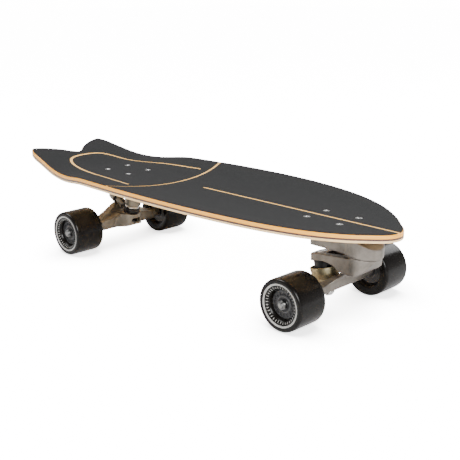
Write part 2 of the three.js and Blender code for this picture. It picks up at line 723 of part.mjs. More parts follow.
function frontBasePlate() {
  const bodyAndFlange = join(flangePlate(-FLANGE_THICKNESS, 0), housingBody());
  const holes = boltHoles(FRONT_BOLTS_X, 0).map((hole) => shifted(hole, -FRONT_BOLTS_X, 0, -FRONT_BASE_TOP));
  const pocket = bar(BOLT_NUT_RADIUS + 2 * GAP, -PIVOT_DROP - ARM_PAD_DEPTH, -FLANGE_THICKNESS);
  const pockets = boltSpots(0).map(([x, y]) => shifted(turned(pocket, BOLT_SIDES), x, y, 0));
  const hubTop = HUB_HEIGHT + GAP;
  const high = 2 * DRUM_RISE;
  const hubBore = atPivot(turned(bar(HUB_RADIUS + GAP, -ARM_PAD_DEPTH, hubTop), ROUND_SIDES));
  const boltBore = atPivot(turned(bar(PIVOT_BOLT_RADIUS + GAP, 0, high), KINGPIN_SIDES));
  const recess = atPivot(turned(bar(RECESS_RADIUS, hubTop + HUB_FLOOR, high), ROUND_SIDES));
  const springRoom = turned(bar(PLUNGER_RADIUS + GAP, 0, PIVOT_AHEAD - SPRING_END), KINGPIN_SIDES);
  const padRoom = atPivot(turned(bar(ARM_PAD_RADIUS + 2 * GAP, -ARM_PAD_DEPTH, GAP / 2), DRUM_SIDES));
  const springBore = onSpringLine(springRoom, SPRING_END - GAP);
  const cutters = [...holes, ...pockets, padRoom, hubBore, boltBore, recess, springBore];
  return named('front_base_plate', cut(bodyAndFlange, ...cutters), castGrey());
}

function pivotBolt() {
  const seat = HUB_HEIGHT + 2 * GAP + HUB_FLOOR;
  const shank = turned(bar(PIVOT_BOLT_RADIUS, -JOINT_LINE, seat + GAP), KINGPIN_SIDES);
  const head = turned(bar(PIVOT_HEAD_RADIUS, seat, seat + PIVOT_HEAD_HEIGHT), NUT_SIDES);
  return named('front_pivot_bolt', atPivot(join(shank, head)), yellowZinc());
}

// The swing arm's outline: shares of its reach back from the pivot and of its depth below the joint
const ARM_SIDE_SHARES = [
  [-0.4, 0.15], [-0.39, 0.45], [-0.3, 0.78], [-0.1, 0.99], [0.29, 1], [0.42, 0.84], [0.56, 0.75],
  [0.79, 0.72], [1.28, 0.985], [1.27, 0.6], [0.875, 0.385], [0.6, 0.3], [0.33, 0.235], [0.06, 0.18], [-0.06, 0],
  [-0.4, -0.1],
];
const ARM_POCKET_FLOOR_SHARE = 0.55;
const FRONT_SEAT = [PIVOT_AHEAD - ARM_REACH, -KINGPIN_SEAT_DROP];
const FRONT_PIVOT = [PIVOT_AHEAD + FRONT_PIVOT_LEAD, -FRONT_PIVOT_DROP];
const FRONT_STACK = kingpinStack({
  above: 0,
  bushing: BOWL_STANDOFF + BOWL_DEPTH - BOWL_WALL - 2 * GAP,
  below: BOWL_WALL + GAP,
  ringSeat: SEAT_THICKNESS,
  roadBushing: ROAD_BUSHING_HEIGHT,
});
const KINGPIN_HOLE = FRONT_KINGPIN_RADIUS + MOUTH_GAP;

// The lean axis runs from the pivot through the bushing, this share of the way down to the hanger's seat
const LEAN_SHARE = 0.75;
const LEAN_CENTRE = along(FRONT_SEAT, -FRONT_KINGPIN_TILT, FRONT_STACK.ringTop * LEAN_SHARE);
const FRONT_LEAN = tiltBetween(LEAN_CENTRE, FRONT_PIVOT);

function onFrontKingpin(solid) {
  return placed(solid, FRONT_SEAT[0], FRONT_SEAT[1], -FRONT_KINGPIN_TILT);
}

function onFrontLean(solid) {
  return placed(solid, FRONT_PIVOT[0], FRONT_PIVOT[1], FRONT_LEAN);
}

// The arm's body with a shallow pocket in its top, and the round pad that it turns on
function armCasting() {
  const spot = ([back, down]) => [PIVOT_AHEAD - ARM_REACH * back, -PIVOT_DROP - ARM_DEPTH * down];
  const plan = tearPlan(PIVOT_AHEAD, ARM_DRUM_RADIUS, PIVOT_AHEAD - ARM_REACH, ARM_TIP_RADIUS);
  const body = carved(ARM_SIDE_SHARES.map(spot), plan, ARM_DRUM_RADIUS + CUT);
  const pad = atPivot(turned(bar(ARM_PAD_RADIUS, -ARM_PAD_DEPTH, -JOINT_LINE), ROUND_SIDES));
  const above = atPivot(turned(bar(DRUM_RADIUS + CUT, -JOINT_LINE, DRUM_RISE), ROUND_SIDES));
  const middle = PIVOT_AHEAD - ARM_PAD_RADIUS - ARM_POCKET_LENGTH / 2;
  const outline = roundedPlate(2 * ARM_POCKET_LENGTH, 2 * ARM_POCKET_HALF_WIDTH, ARM_POCKET_CORNER);
  const pocket = raised(outline, -PIVOT_DROP - ARM_DEPTH * ARM_POCKET_FLOOR_SHARE, 0, CORNER_STEPS);
  return join(cut(body, above, shifted(pocket, middle, 0, 0)), pad);
}

function swingArm() {
  const hub = atPivot(turned(bar(HUB_RADIUS, -ARM_PAD_DEPTH, HUB_HEIGHT), ROUND_SIDES));
  const grooveRing = ring(HUB_RADIUS, THRUST_OUTER + GAP, -THRUST_THICKNESS - 2 * GAP, CUT);
  const groove = atPivot(turned(grooveRing, ROUND_SIDES));
  const boltRoom = bar(PIVOT_BOLT_RADIUS + GAP, -JOINT_LINE - GAP, HUB_HEIGHT + CUT);
  const boltBore = atPivot(turned(boltRoom, KINGPIN_SIDES));
  const kingpinBore = onFrontKingpin(turned(bar(FRONT_KINGPIN_RADIUS + GAP, -CUT, ARM_DEPTH), KINGPIN_SIDES));
  const headRoom = bar(KINGPIN_HEAD_RADIUS + 2 * GAP, ARM_TIP_DEPTH - KINGPIN_HEAD_HEIGHT, ARM_DEPTH);
  const headRecess = onFrontKingpin(turned(headRoom, ROUND_SIDES));
  const arm = join(cut(armCasting(), groove), hub);
  const stemRoom = onFrontLean(cupBore(ARM_REACH / 2));
  return named('front_swing_arm', cut(arm, boltBore, kingpinBore, headRecess, stemRoom), castGrey());
}

function thrustRing() {
  const profile = ring(HUB_RADIUS + GAP, THRUST_OUTER, -THRUST_THICKNESS - GAP, -GAP);
  return named('front_thrust_ring', atPivot(turned(profile, ROUND_SIDES)), brightSteel());
}

// The plunger presses on the arm's hub with a domed end, in shares of its radius: out, back from the tip
const DOME_SHARES = [[1, 0.33], [0.5, 0.08], [0, 0]];

function plunger() {
  const profile = [[0, 0], [PLUNGER_RADIUS, 0], ...DOME_SHARES.map(([out, back]) => [
    PLUNGER_RADIUS * out, PLUNGER_LENGTH - PLUNGER_RADIUS * back])];
  const pin = onSpringLine(turned(profile, KINGPIN_SIDES), PLUNGER_END);
  return named('front_spring_plunger', pin, brightSteel());
}

const CURL_STEPS = 8;
const WIRE_SIDES = 5;

// The return spring: one unbroken wire, its two ends straight for one wire's thickness
function springPath() {
  const path = [];
  const steps = SPRING_TURNS * CURL_STEPS;
  for (let i = 0; i <= steps; i += 1) {
    const turn = (2 * Math.PI * i) / CURL_STEPS;
    path.push({ turn, height: SPRING_WIRE + (SPRING_TURNS * SPRING_PITCH * i) / steps });
  }
  const first = { turn: path[0].turn, height: 0 };
  const last = { turn: path[steps].turn, height: path[steps].height + SPRING_WIRE };
  return [first, ...path, last];
}

function springPlace({ turn, height }) {
  return new THREE.Vector3(SPRING_RADIUS * Math.cos(turn), SPRING_RADIUS * Math.sin(turn), height);
}

function springSolid() {
  const path = springPath();
  const centres = path.map(springPlace);
  const positions = [];
  centres.forEach((centre, i) => {
    const before = centres[Math.max(0, i - 1)];
    const after = centres[Math.min(centres.length - 1, i + 1)];
    const ahead = after.clone().sub(before).normalize();
    const outward = new THREE.Vector3(Math.cos(path[i].turn), Math.sin(path[i].turn), 0);
    const sideways = ahead.clone().cross(outward).normalize();
    for (let k = 0; k < WIRE_SIDES; k += 1) {
      const angle = (2 * Math.PI * k) / WIRE_SIDES;
      const spot = centre.clone();
      spot.addScaledVector(outward, (SPRING_WIRE / 2) * Math.cos(angle));
      spot.addScaledVector(sideways, (SPRING_WIRE / 2) * Math.sin(angle));
      positions.push(spot.x, spot.y, spot.z);
    }
  });
  const indices = [];
  const lastRing = (centres.length - 1) * WIRE_SIDES;
  for (let i = 0; i < lastRing; i += WIRE_SIDES) {
    for (let k = 0; k < WIRE_SIDES; k += 1) {
      const next = (k + 1) % WIRE_SIDES;
      const [a, b, c, d] = [i + k, i + next, i + WIRE_SIDES + next, i + WIRE_SIDES + k];
      indices.push(a, b, c, a, c, d);
    }
  }
  for (let k = 1; k < WIRE_SIDES - 1; k += 1) {
    indices.push(0, k + 1, k, lastRing, lastRing + k, lastRing + k + 1);
  }
  const geometry = new THREE.BufferGeometry();
  geometry.setAttribute('position', new THREE.Float32BufferAttribute(positions, 3));
  geometry.setIndex(indices);
  return solidOf(geometry);
}

// Least gap between neighbouring turns of the spring, measured on points of its centre line
function springGap() {
  const centres = springPath().map(springPlace);
  let least = Infinity;
  centres.forEach((a, i) => centres.slice(i + CURL_STEPS / 2).forEach((b) => {
    least = Math.min(least, a.distanceTo(b) - SPRING_WIRE);
  }));
  return least;
}

function returnSpring() {
  console.log(`least gap of the return spring to itself: ${springGap().toFixed(2)} mm`);
  return named('front_return_spring', onSpringLine(springSolid(), SPRING_END), springSteel());
}

// Profile of the deep bowl under the arm's tip, from its foot to its rim
function bowlRadius(down) {
  return BOWL_FOOT_RADIUS + (BOWL_RADIUS - BOWL_FOOT_RADIUS) * Math.sqrt(1 - down * down);
}

const BOWL_STEPS = 5;

function bowlCurve(inset) {
  const curve = [];
  for (let i = 0; i <= BOWL_STEPS; i += 1) {
    const down = 1 - i / BOWL_STEPS;
    curve.push([bowlRadius(down) - inset, -BOWL_STANDOFF - BOWL_DEPTH * down]);
  }
  return curve;
}

function frontBowl() {
  const foot = -BOWL_STANDOFF - BOWL_DEPTH;
  const floor = foot + BOWL_WALL;
  const inner = bowlCurve(BOWL_WALL).filter(([, height]) => height > floor).reverse();
  const profile = [[KINGPIN_HOLE, foot], ...bowlCurve(0), ...inner, [BOWL_FOOT_RADIUS, floor],
    [KINGPIN_HOLE, floor], [KINGPIN_HOLE, foot]];
  return named('front_bowl_cup', onFrontKingpin(turned(profile, ROUND_SIDES)), yellowZinc());
}

function frontBoardBushing() {
  const { bushingTop, bushingBottom } = FRONT_STACK;
  const hole = FRONT_KINGPIN_RADIUS + GAP;
  const foot = BOWL_FOOT_RADIUS - BOWL_WALL - 2 * GAP;
  const belly = bushingBottom + BOWL_DEPTH / 2;
  const profile = [[hole, bushingBottom], [foot, bushingBottom], [FRONT_BUSHING_RADIUS, belly],
    [FRONT_BUSHING_RADIUS, bushingTop], [hole, bushingTop], [hole, bushingBottom]];
  return named('front_board_bushing', onFrontKingpin(turned(profile, ROUND_SIDES)), blackUrethane());
}

// The lower bushing tapers towards its washer
function roadBushing(name, stack, hole, place) {
  const profile = [[hole, stack.roadBottom], [ROAD_BUSHING_RADIUS - CUP_WASHER_THICKNESS, stack.roadBottom],
    [ROAD_BUSHING_RADIUS, stack.roadTop], [hole, stack.roadTop], [hole, stack.roadBottom]];
  return named(name, place(turned(profile, ROUND_SIDES)), blackUrethane());
}

function frontKingpin() {
  const headBottom = ARM_TIP_DEPTH - KINGPIN_HEAD_HEIGHT + GAP;
  const shank = turned(bar(FRONT_KINGPIN_RADIUS, FRONT_STACK.end, headBottom + GAP), KINGPIN_SIDES);
  const head = turned(bar(KINGPIN_HEAD_RADIUS, headBottom, headBottom + KINGPIN_HEAD_HEIGHT), NUT_SIDES);
  return named('front_kingpin', onFrontKingpin(join(shank, head)), brightSteel());
}

// The wheels' places along the axle, worked out from the track
const CORE_HALF = CORE_WIDTH / 2;

function wheelCentre(track) {
  return track / 2 - WHEEL_WIDTH / 2;
}

function hangerEnd(track) {
  return wheelCentre(track) - CORE_HALF - 2 * GAP;
}

const FRONT_AXLE = [FRONT_AXLE_AHEAD, -FRONT_HEIGHT];
const TUBE_SIDES = 20;

// The round bar that holds the axle, thinner where it reaches into the wheels
function axleTube(radius, track, at) {
  const end = hangerEnd(track);
  const shoulder = wheelCentre(track) - WHEEL_WIDTH / 2 - 2 * GAP;
  const full = shoulder - TUBE_SHOULDER;
  const profile = [[0, -end], [TUBE_END_RADIUS, -end], [TUBE_END_RADIUS, -shoulder], [radius, -full],
    [radius, full], [TUBE_END_RADIUS, shoulder], [TUBE_END_RADIUS, end], [0, end]];
  return shifted(turned(profile, TUBE_SIDES).rotate([90, 0, 0]), at[0], 0, at[1]);
}

// The front hanger's wing: shares of the way from the axle to the pivot, in side view, and with
// shares of its half width in plan and in front view
const DELTA_SIDE_SHARES = [
  [-0.12, -0.18], [0.06, -0.19], [0.17, -0.08], [0.2, 0.2], [0.36, 0.38], [0.52, 0.54], [0.44, 0.6],
  [0.3, 0.52], [0.1, 0.36], [-0.1, 0.2], [-0.17, 0],
];
const DELTA_PLAN_SHARES = [[-0.3, 1], [0.12, 1], [0.5, 0.15], [0.75, 0.12]];
const DELTA_FACE_SHARES = [[0.13, 0.8], [0.2, 0.42], [0.35, 0.28], [0.6, 0.17], [1, 0.15], [1, -0.19]];

function frontDelta() {
  const runX = FRONT_PIVOT[0] - FRONT_AXLE[0];
  const runZ = FRONT_PIVOT[1] - FRONT_AXLE[1];
  const [x, z] = FRONT_AXLE;
  const side = DELTA_SIDE_SHARES.map(([ahead, up]) => [x + runX * ahead, z + runZ * up]);
  const flank = DELTA_PLAN_SHARES.map(([ahead, wide]) => [x + runX * ahead, DELTA_HALF_WIDTH * wide]);
  const plan = [...flank, ...flank.map(([ahead, left]) => [ahead, -left]).reverse()].reverse();
  const face = DELTA_FACE_SHARES.map(([wide, up]) => [DELTA_HALF_WIDTH * wide, z + runZ * up]);
  const front = faced(mirroredFace(face), x - runX, FRONT_PIVOT[0]);
  return carved(side, plan, DELTA_HALF_WIDTH + CUT).intersect(front);
}

function frontHanger() {
  const seatBar = bar(SEAT_RADIUS, FRONT_STACK.ringBottom, FRONT_STACK.ringTop);
  const seat = onFrontKingpin(turned(seatBar, ROUND_SIDES));
  const stem = onFrontLean(pivotStem(STEM_LENGTH));
  const bowlRoom = onFrontKingpin(turned([[0, FRONT_STACK.ringTop],
    ...bowlCurve(-2 * GAP), [BOWL_RADIUS + 2 * GAP, CUT], [0, CUT]], ROUND_SIDES));
  const roadBar = bar(ROAD_WASHER_RADIUS + 4 * GAP, 2 * FRONT_STACK.end, FRONT_STACK.ringBottom);
  const roadRoom = onFrontKingpin(turned(roadBar, ROUND_SIDES));
  const kingpinRoom = onFrontKingpin(turned(bar(KINGPIN_HOLE, 2 * FRONT_STACK.end, 0), KINGPIN_SIDES));
  const axleBore = crossBar(AXLE_RADIUS + GAP, FRONT_TRACK, FRONT_AXLE[0], FRONT_AXLE[1], KINGPIN_SIDES);
  const casting = cut(join(axleTube(FRONT_TUBE_RADIUS, FRONT_TRACK, FRONT_AXLE), frontDelta(), seat), roadRoom);
  const hanger = cut(join(casting, stem), bowlRoom, kingpinRoom, axleBore);
  return named('front_hanger', hanger, castGrey());
}

// Rear truck, measured from the middle of its base plate's top
const REAR_SEAT = [REAR_KINGPIN_AHEAD, -REAR_SEAT_DROP];
const REAR_PIVOT = [-REAR_PIVOT_BEHIND, -REAR_PIVOT_DROP];
const REAR_AXLE = [-REAR_AXLE_BEHIND, -REAR_HEIGHT];
const REAR_STACK = kingpinStack({
  above: CUP_WASHER_THICKNESS + GAP,
  bushing: REAR_BUSHING_HEIGHT,
  below: 0,
  ringSeat: REAR_SEAT_THICKNESS,
  roadBushing: REAR_ROAD_BUSHING,
});
const REAR_RING_MIDDLE = (REAR_STACK.ringTop + REAR_STACK.ringBottom) / 2;
const REAR_LEAN = tiltBetween(along(REAR_SEAT, REAR_KINGPIN_TILT, REAR_RING_MIDDLE), REAR_PIVOT);

function onRearKingpin(solid) {
  return placed(solid, REAR_SEAT[0], REAR_SEAT[1], REAR_KINGPIN_TILT);
}

function onRearLean(solid) {
  return placed(solid, REAR_PIVOT[0], REAR_PIVOT[1], REAR_LEAN);
}

// Webs under the rear base plate: shares of the pivot boss about the pivot, and of the kingpin boss
const PIVOT_WEB_SHARES = [[-0.95, 0.9], [0, 0], [0.6, 1]];
const BOSS_WEB_SHARES = [[-0.95, 0.9], [-0.5, 0.35], [0.9, 0.9]];

function pivotBoss() {
  const under = -FLANGE_THICKNESS / 2;
  const [x, z] = REAR_PIVOT;
  const boss = onRearLean(turned(bar(REAR_PIVOT_BOSS, CUP_MOUTH, CUP_TOP + CUT), ROUND_SIDES));
  const side = [[CUT - FLANGE_LENGTH / 2, under],
    ...PIVOT_WEB_SHARES.map(([ahead, up]) => [x + REAR_PIVOT_BOSS * ahead, z + REAR_PIVOT_BOSS * up]),
    [x + 2 * REAR_PIVOT_BOSS, under]];
  const below = onRearLean(turned(bar(2 * REAR_PIVOT_BOSS, -REAR_HEIGHT, CUP_MOUTH), ROUND_SIDES));
  return join(boss, cut(across(side, REAR_PIVOT_BOSS - CUT), below));
}

function kingpinBoss() {
  const under = -FLANGE_THICKNESS / 2;
  const [x, z] = REAR_SEAT;
  const profile = [[0, 0], [REAR_BOSS_RADIUS - CUT, 0], [REAR_BOSS_RADIUS, REAR_BOSS_HEIGHT / 2],
    [REAR_BOSS_RADIUS, REAR_BOSS_HEIGHT], [0, REAR_BOSS_HEIGHT]];
  const side = [[x - REAR_BOSS_RADIUS, under],
    ...BOSS_WEB_SHARES.map(([ahead, up]) => [x + REAR_BOSS_RADIUS * ahead, z + REAR_BOSS_HEIGHT * up]),
    [FLANGE_LENGTH / 2 - CUT, under]];
  const web = across(side, REAR_BOSS_RADIUS - 2 * GAP);
  const below = onRearKingpin(turned(bar(2 * REAR_BOSS_RADIUS, -2 * REAR_BOSS_HEIGHT, 0), ROUND_SIDES));
  return cut(join(onRearKingpin(turned(profile, ROUND_SIDES)), web), below);
}

function rearBasePlate() {
  const holes = boltHoles(REAR_BOLTS_X, 0).map((hole) => shifted(hole, -REAR_BOLTS_X, 0, -REAR_BASE_TOP));
  const cupSeat = onRearLean(cupBore(REAR_PIVOT_BOSS));
  const studRoom = bar(REAR_KINGPIN_RADIUS + GAP, -CUT, REAR_STUD_DEPTH + GAP);
  const studBore = onRearKingpin(turned(studRoom, KINGPIN_SIDES));
  const nutRoom = bar(BOLT_NUT_RADIUS + GAP, -REAR_HEIGHT, -FLANGE_THICKNESS);
  const nutRooms = boltSpots(0).map(([x, y]) => shifted(turned(nutRoom, BOLT_SIDES), x, y, 0));
  const casting = join(flangePlate(-FLANGE_THICKNESS, 0), pivotBoss(), kingpinBoss());
  return named('rear_base_plate', cut(casting, ...holes, ...nutRooms, cupSeat, studBore), castBrown());
}

// The rear hanger, in shares of the rise from axle to pivot: a web that narrows up to the pivot,
// and a wing in front of it that carries the ring; in front view, widths are shares of the half width
const WEB_SIDE_SHARES = [
  [-0.2, 0], [-0.42, 0.45], [-0.4, 0.72], [-0.28, 0.83], [-0.12, 0.72], [-0.02, 0.5], [0.15, 0.15],
];
const WEB_FACE_SHARES = [[0.1, 0.9], [0.26, 0.69], [0.52, 0.46], [0.78, 0.32], [1, 0.18], [1, -0.1]];
const WING_SIDE_SHARES = [
  [-0.24, -0.08], [0, -0.23], [0.24, -0.1], [0.34, 0.25], [0.52, 0.36], [0.52, 0.5], [0.2, 0.5], [-0.24, 0.3],
];
const WING_FACE_SHARES = [[0.24, 0.5], [0.52, 0.35], [0.93, 0.2], [0.93, -0.24]];

function rearCasting() {
  const rise = REAR_PIVOT[1] - REAR_AXLE[1];
  const [x, z] = REAR_AXLE;
  const sideOf = (shares) => shares.map(([ahead, up]) => [x + rise * ahead, z + rise * up]);
  const faceOf = (shares) => mirroredFace(
    shares.map(([wide, up]) => [REAR_WING_HALF_WIDTH * wide, z + rise * up]));
  const formed = (side, face) => across(sideOf(side), REAR_WING_HALF_WIDTH + CUT)
    .intersect(faced(faceOf(face), x - rise, x + rise));
  const web = formed(WEB_SIDE_SHARES, WEB_FACE_SHARES);
  const wing = formed(WING_SIDE_SHARES, WING_FACE_SHARES);
  return join(axleTube(REAR_TUBE_RADIUS, REAR_TRACK, REAR_AXLE), web, wing);
}

// Room round the kingpin's lower end, longer across the truck so that the hanger can lean
function rearSlot(radius, top) {
  const room = onRearKingpin(turned(bar(radius, 2 * REAR_STACK.end, top), ROUND_SIDES));
  return join(room, shifted(room, 0, MOUTH_GAP, 0), shifted(room, 0, -MOUTH_GAP, 0));
}

function rearHanger() {
  const { ringTop, ringBottom, end } = REAR_STACK;
  const ringPlate = onRearKingpin(turned(bar(REAR_BOSS_RADIUS, ringBottom, ringTop), ROUND_SIDES));
  const bushingBar = bar(REAR_BOSS_RADIUS + GAP, ringTop, REAR_BOSS_HEIGHT);
  const bushingRoom = onRearKingpin(turned(bushingBar, ROUND_SIDES));
  const slot = rearSlot(ROAD_WASHER_RADIUS + 4 * GAP, ringBottom);
  const kingpinRoom = onRearKingpin(turned(bar(KINGPIN_HOLE, 2 * end, 0), KINGPIN_SIDES));
  const axleBore = crossBar(AXLE_RADIUS + GAP, REAR_TRACK, REAR_AXLE[0], REAR_AXLE[1], KINGPIN_SIDES);
  const casting = join(cut(rearCasting(), slot), ringPlate, onRearLean(pivotStem(REAR_STEM_LENGTH)));
  return named('rear_hanger', cut(casting, bushingRoom, kingpinRoom, axleBore), castBrown());
}

function rearKingpin() {
  const stud = turned(bar(REAR_KINGPIN_RADIUS, REAR_STACK.end, REAR_STUD_DEPTH), KINGPIN_SIDES);
  return named('rear_kingpin', onRearKingpin(stud), brightSteel());
}

function rearBoardBushing() {
  const hole = REAR_KINGPIN_RADIUS + GAP;
  const { bushingTop, bushingBottom } = REAR_STACK;
  const neck = CUP_WASHER_RADIUS - CUP_WASHER_THICKNESS - GAP;
  const profile = [[hole, bushingBottom], [neck, bushingBottom],
    [REAR_BUSHING_RADIUS, bushingBottom + CUP_WASHER_LIP], [REAR_BUSHING_RADIUS, bushingTop - 2 * CUP_WASHER_LIP],
    [neck, bushingTop - CUP_WASHER_LIP], [neck, bushingTop],
    [hole, bushingTop], [hole, bushingBottom]];
  return named('rear_board_bushing', onRearKingpin(turned(profile, ROUND_SIDES)), blackUrethane());
}

function axle(name, track, at) {
  const end = wheelCentre(track) + CORE_HALF + GAP + AXLE_NUT_HEIGHT + AXLE_TAIL;
  return named(name, crossBar(AXLE_RADIUS, end, at[0], at[1], KINGPIN_SIDES), brightSteel());
}

// Lower bushing, washer and nut on a kingpin
function roadParts(end, stack, hole, place, washerFinish) {
  const bottom = stack.washerTop - CUP_WASHER_THICKNESS;
  const washer = turned(ring(hole, ROAD_WASHER_RADIUS, bottom, stack.washerTop), ROUND_SIDES);
  return [
    roadBushing(`${end}_road_bushing`, stack, hole, place),
    named(`${end}_road_washer`, place(washer), washerFinish),
    hexNut(`${end}_kingpin_nut`, hole, KINGPIN_NUT_RADIUS, stack.nutBottom, stack.nutTop, place),
  ];
}

function makeFrontTruck() {
  const truck = new THREE.Group();
  const hole = FRONT_KINGPIN_RADIUS + GAP;
  truck.position.set(FRONT_BOLTS_X, 0, FRONT_BASE_TOP);
  truck.add(frontBasePlate(), pivotBolt(), swingArm(), thrustRing(), plunger(), returnSpring());
  truck.add(frontKingpin(), frontBowl(), frontBoardBushing(), frontHanger());
  truck.add(...roadParts('front', FRONT_STACK, hole, onFrontKingpin, yellowZinc()));
  truck.add(pivotCup('front_pivot_cup', onFrontLean), axle('front_axle', FRONT_TRACK, FRONT_AXLE));
  return truck;
}

function makeRearTruck() {
  const truck = new THREE.Group();
  const hole = REAR_KINGPIN_RADIUS + GAP;
  truck.position.set(REAR_BOLTS_X, 0, REAR_BASE_TOP);
  truck.add(rearBasePlate(), rearKingpin(), rearBoardBushing(), rearHanger());
  truck.add(cupWasher('rear_board_washer', hole, -GAP, brightSteel(), onRearKingpin));
  truck.add(...roadParts('rear', REAR_STACK, hole, onRearKingpin, brightSteel()));
  truck.add(pivotCup('rear_pivot_cup', onRearLean), axle('rear_axle', REAR_TRACK, REAR_AXLE));
  return truck;
}

// Wheels, made about Z with their outer face up, and laid over to face left or right
const WHEEL_SIDES = 28;
const CORE_SIDES = 20;
const BEARING_SIDES = 12;
const FLAT_SHARE = 1 / Math.cos(Math.PI / WHEEL_SIDES);

function tyreProfile() {
  const half = WHEEL_WIDTH / 2;
  const outer = WHEEL_RADIUS * FLAT_SHARE;
  const bore = CORE_RADIUS + GAP;
  const lip = WHEEL_EDGE * 2;
  const side = [[bore, CORE_HALF], [WHEEL_DISH_RADIUS, half - WHEEL_EDGE], [outer - lip, half],
    [outer - WHEEL_EDGE / 2, half - WHEEL_EDGE], [outer, half - 2 * lip]];
  const mirrored = side.map(([radius, height]) => [radius, -height]);
  return [...mirrored, ...side.reverse(), mirrored[0]];
}

function coreProfile() {
  const seat = BEARING_RADIUS + GAP / 2;
  const shelf = CORE_HALF - BEARING_WIDTH - GAP;
  const inner = BEARING_RADIUS - CUT;
  return [[inner, -shelf], [seat, -shelf], [seat, -CORE_HALF], [CORE_RADIUS, -CORE_HALF],
    [CORE_RADIUS, CORE_HALF], [seat, CORE_HALF], [seat, shelf], [inner, shelf], [inner, -shelf]];
}

function bearingProfile() {
  const hole = AXLE_RADIUS + GAP;
  const step = BEARING_SHIELD_RECESS;
  const shieldIn = BEARING_INNER_RING;
  const shieldOut = BEARING_RADIUS - (BEARING_INNER_RING - AXLE_RADIUS) / 2;
  const top = BEARING_WIDTH;
  return [[hole, 0], [BEARING_RADIUS, 0], [BEARING_RADIUS, top], [shieldOut, top], [shieldOut, top - step],
    [shieldIn, top - step], [shieldIn, top], [hole, top], [hole, 0]];
}

function wheel(name, x, track, left) {
  const group = new THREE.Group();
  group.position.set(x, left * wheelCentre(track), WHEEL_RADIUS);
  group.rotation.x = (-left * Math.PI) / 2;
  const flat = Math.PI / WHEEL_SIDES;
  const outerBearing = shifted(turned(bearingProfile(), BEARING_SIDES), 0, 0, CORE_HALF - BEARING_WIDTH);
  const innerRing = ring(AXLE_RADIUS + GAP, BEARING_RADIUS, -CORE_HALF, BEARING_WIDTH - CORE_HALF);
  const innerBearing = turned(innerRing, BEARING_SIDES);
  group.add(named(`${name}_tyre`, turned(tyreProfile(), WHEEL_SIDES, flat), blackUrethane()));
  group.add(named(`${name}_core`, turned(coreProfile(), CORE_SIDES), blackPlastic()));
  group.add(named(`${name}_outer_bearing`, outerBearing, brightSteel()));
  group.add(named(`${name}_inner_bearing`, innerBearing, brightSteel()));
  return group;
}

function axleNut(name, x, track, left) {
  const group = new THREE.Group();
  group.position.set(x, left * wheelCentre(track), WHEEL_RADIUS);
  group.rotation.x = (-left * Math.PI) / 2;
  const bottom = CORE_HALF + GAP;
  const top = bottom + AXLE_NUT_HEIGHT;
  group.add(hexNut(`${name}_axle_nut`, AXLE_RADIUS + GAP, AXLE_NUT_RADIUS, bottom, top, (solid) => solid));
  return group;
}

const running = new THREE.Group();
const frontAxleX = FRONT_BOLTS_X + FRONT_AXLE_AHEAD;
const rearAxleX = REAR_BOLTS_X - REAR_AXLE_BEHIND;
[['front', frontAxleX, FRONT_TRACK], ['rear', rearAxleX, REAR_TRACK]].forEach(([end, x, track]) => {
  [['left', 1], ['right', -1]].forEach(([side, left]) => {
    running.add(wheel(`${end}_${side}_wheel`, x, track, left));
    running.add(axleNut(`${end}_${side}`, x, track, left));
  });
});

const skateboard = new THREE.Group();
skateboard.add(board, makeFrontTruck(), makeRearTruck(), running);

export default skateboard;
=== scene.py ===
import json
import math

import bmesh
import bpy
from mathutils import Matrix, Vector

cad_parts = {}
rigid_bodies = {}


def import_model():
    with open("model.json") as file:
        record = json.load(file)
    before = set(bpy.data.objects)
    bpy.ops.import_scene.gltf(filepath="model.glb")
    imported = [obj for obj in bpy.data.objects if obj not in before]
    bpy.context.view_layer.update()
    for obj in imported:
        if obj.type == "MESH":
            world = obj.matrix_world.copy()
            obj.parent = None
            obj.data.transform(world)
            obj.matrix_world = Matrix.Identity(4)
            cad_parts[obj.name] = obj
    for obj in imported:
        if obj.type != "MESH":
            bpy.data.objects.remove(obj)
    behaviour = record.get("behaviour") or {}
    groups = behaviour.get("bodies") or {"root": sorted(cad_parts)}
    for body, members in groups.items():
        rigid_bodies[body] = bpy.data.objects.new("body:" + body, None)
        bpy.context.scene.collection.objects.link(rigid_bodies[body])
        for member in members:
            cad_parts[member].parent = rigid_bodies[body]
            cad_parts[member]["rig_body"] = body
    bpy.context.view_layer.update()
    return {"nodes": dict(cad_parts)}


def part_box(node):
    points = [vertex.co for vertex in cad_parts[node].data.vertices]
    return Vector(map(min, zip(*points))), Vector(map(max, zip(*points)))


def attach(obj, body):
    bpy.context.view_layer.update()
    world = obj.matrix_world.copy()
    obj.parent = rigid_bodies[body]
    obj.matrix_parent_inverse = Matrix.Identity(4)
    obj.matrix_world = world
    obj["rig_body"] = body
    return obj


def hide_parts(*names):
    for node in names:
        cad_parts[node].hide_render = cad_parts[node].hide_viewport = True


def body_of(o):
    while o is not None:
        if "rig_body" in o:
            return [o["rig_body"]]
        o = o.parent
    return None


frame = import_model()

# Pieces are made in millimetres and brought to metres by piece().
# +X to the nose, +Y to the rider's left, +Z up, the floor at zero.
MM = 0.001

# The photograph's view, from a fit on the wheels, bolts and deck outline
CAMERA_PLACE = Vector((0.9028, -0.8431, 0.4191))
CAMERA_RIGHT = Vector((0.7085, 0.7057, -0.0064))
CAMERA_UP = Vector((-0.1949, 0.2043, 0.9593))
SENSOR = 36.0
LENS = 65.55
CLIP_START = 0.01


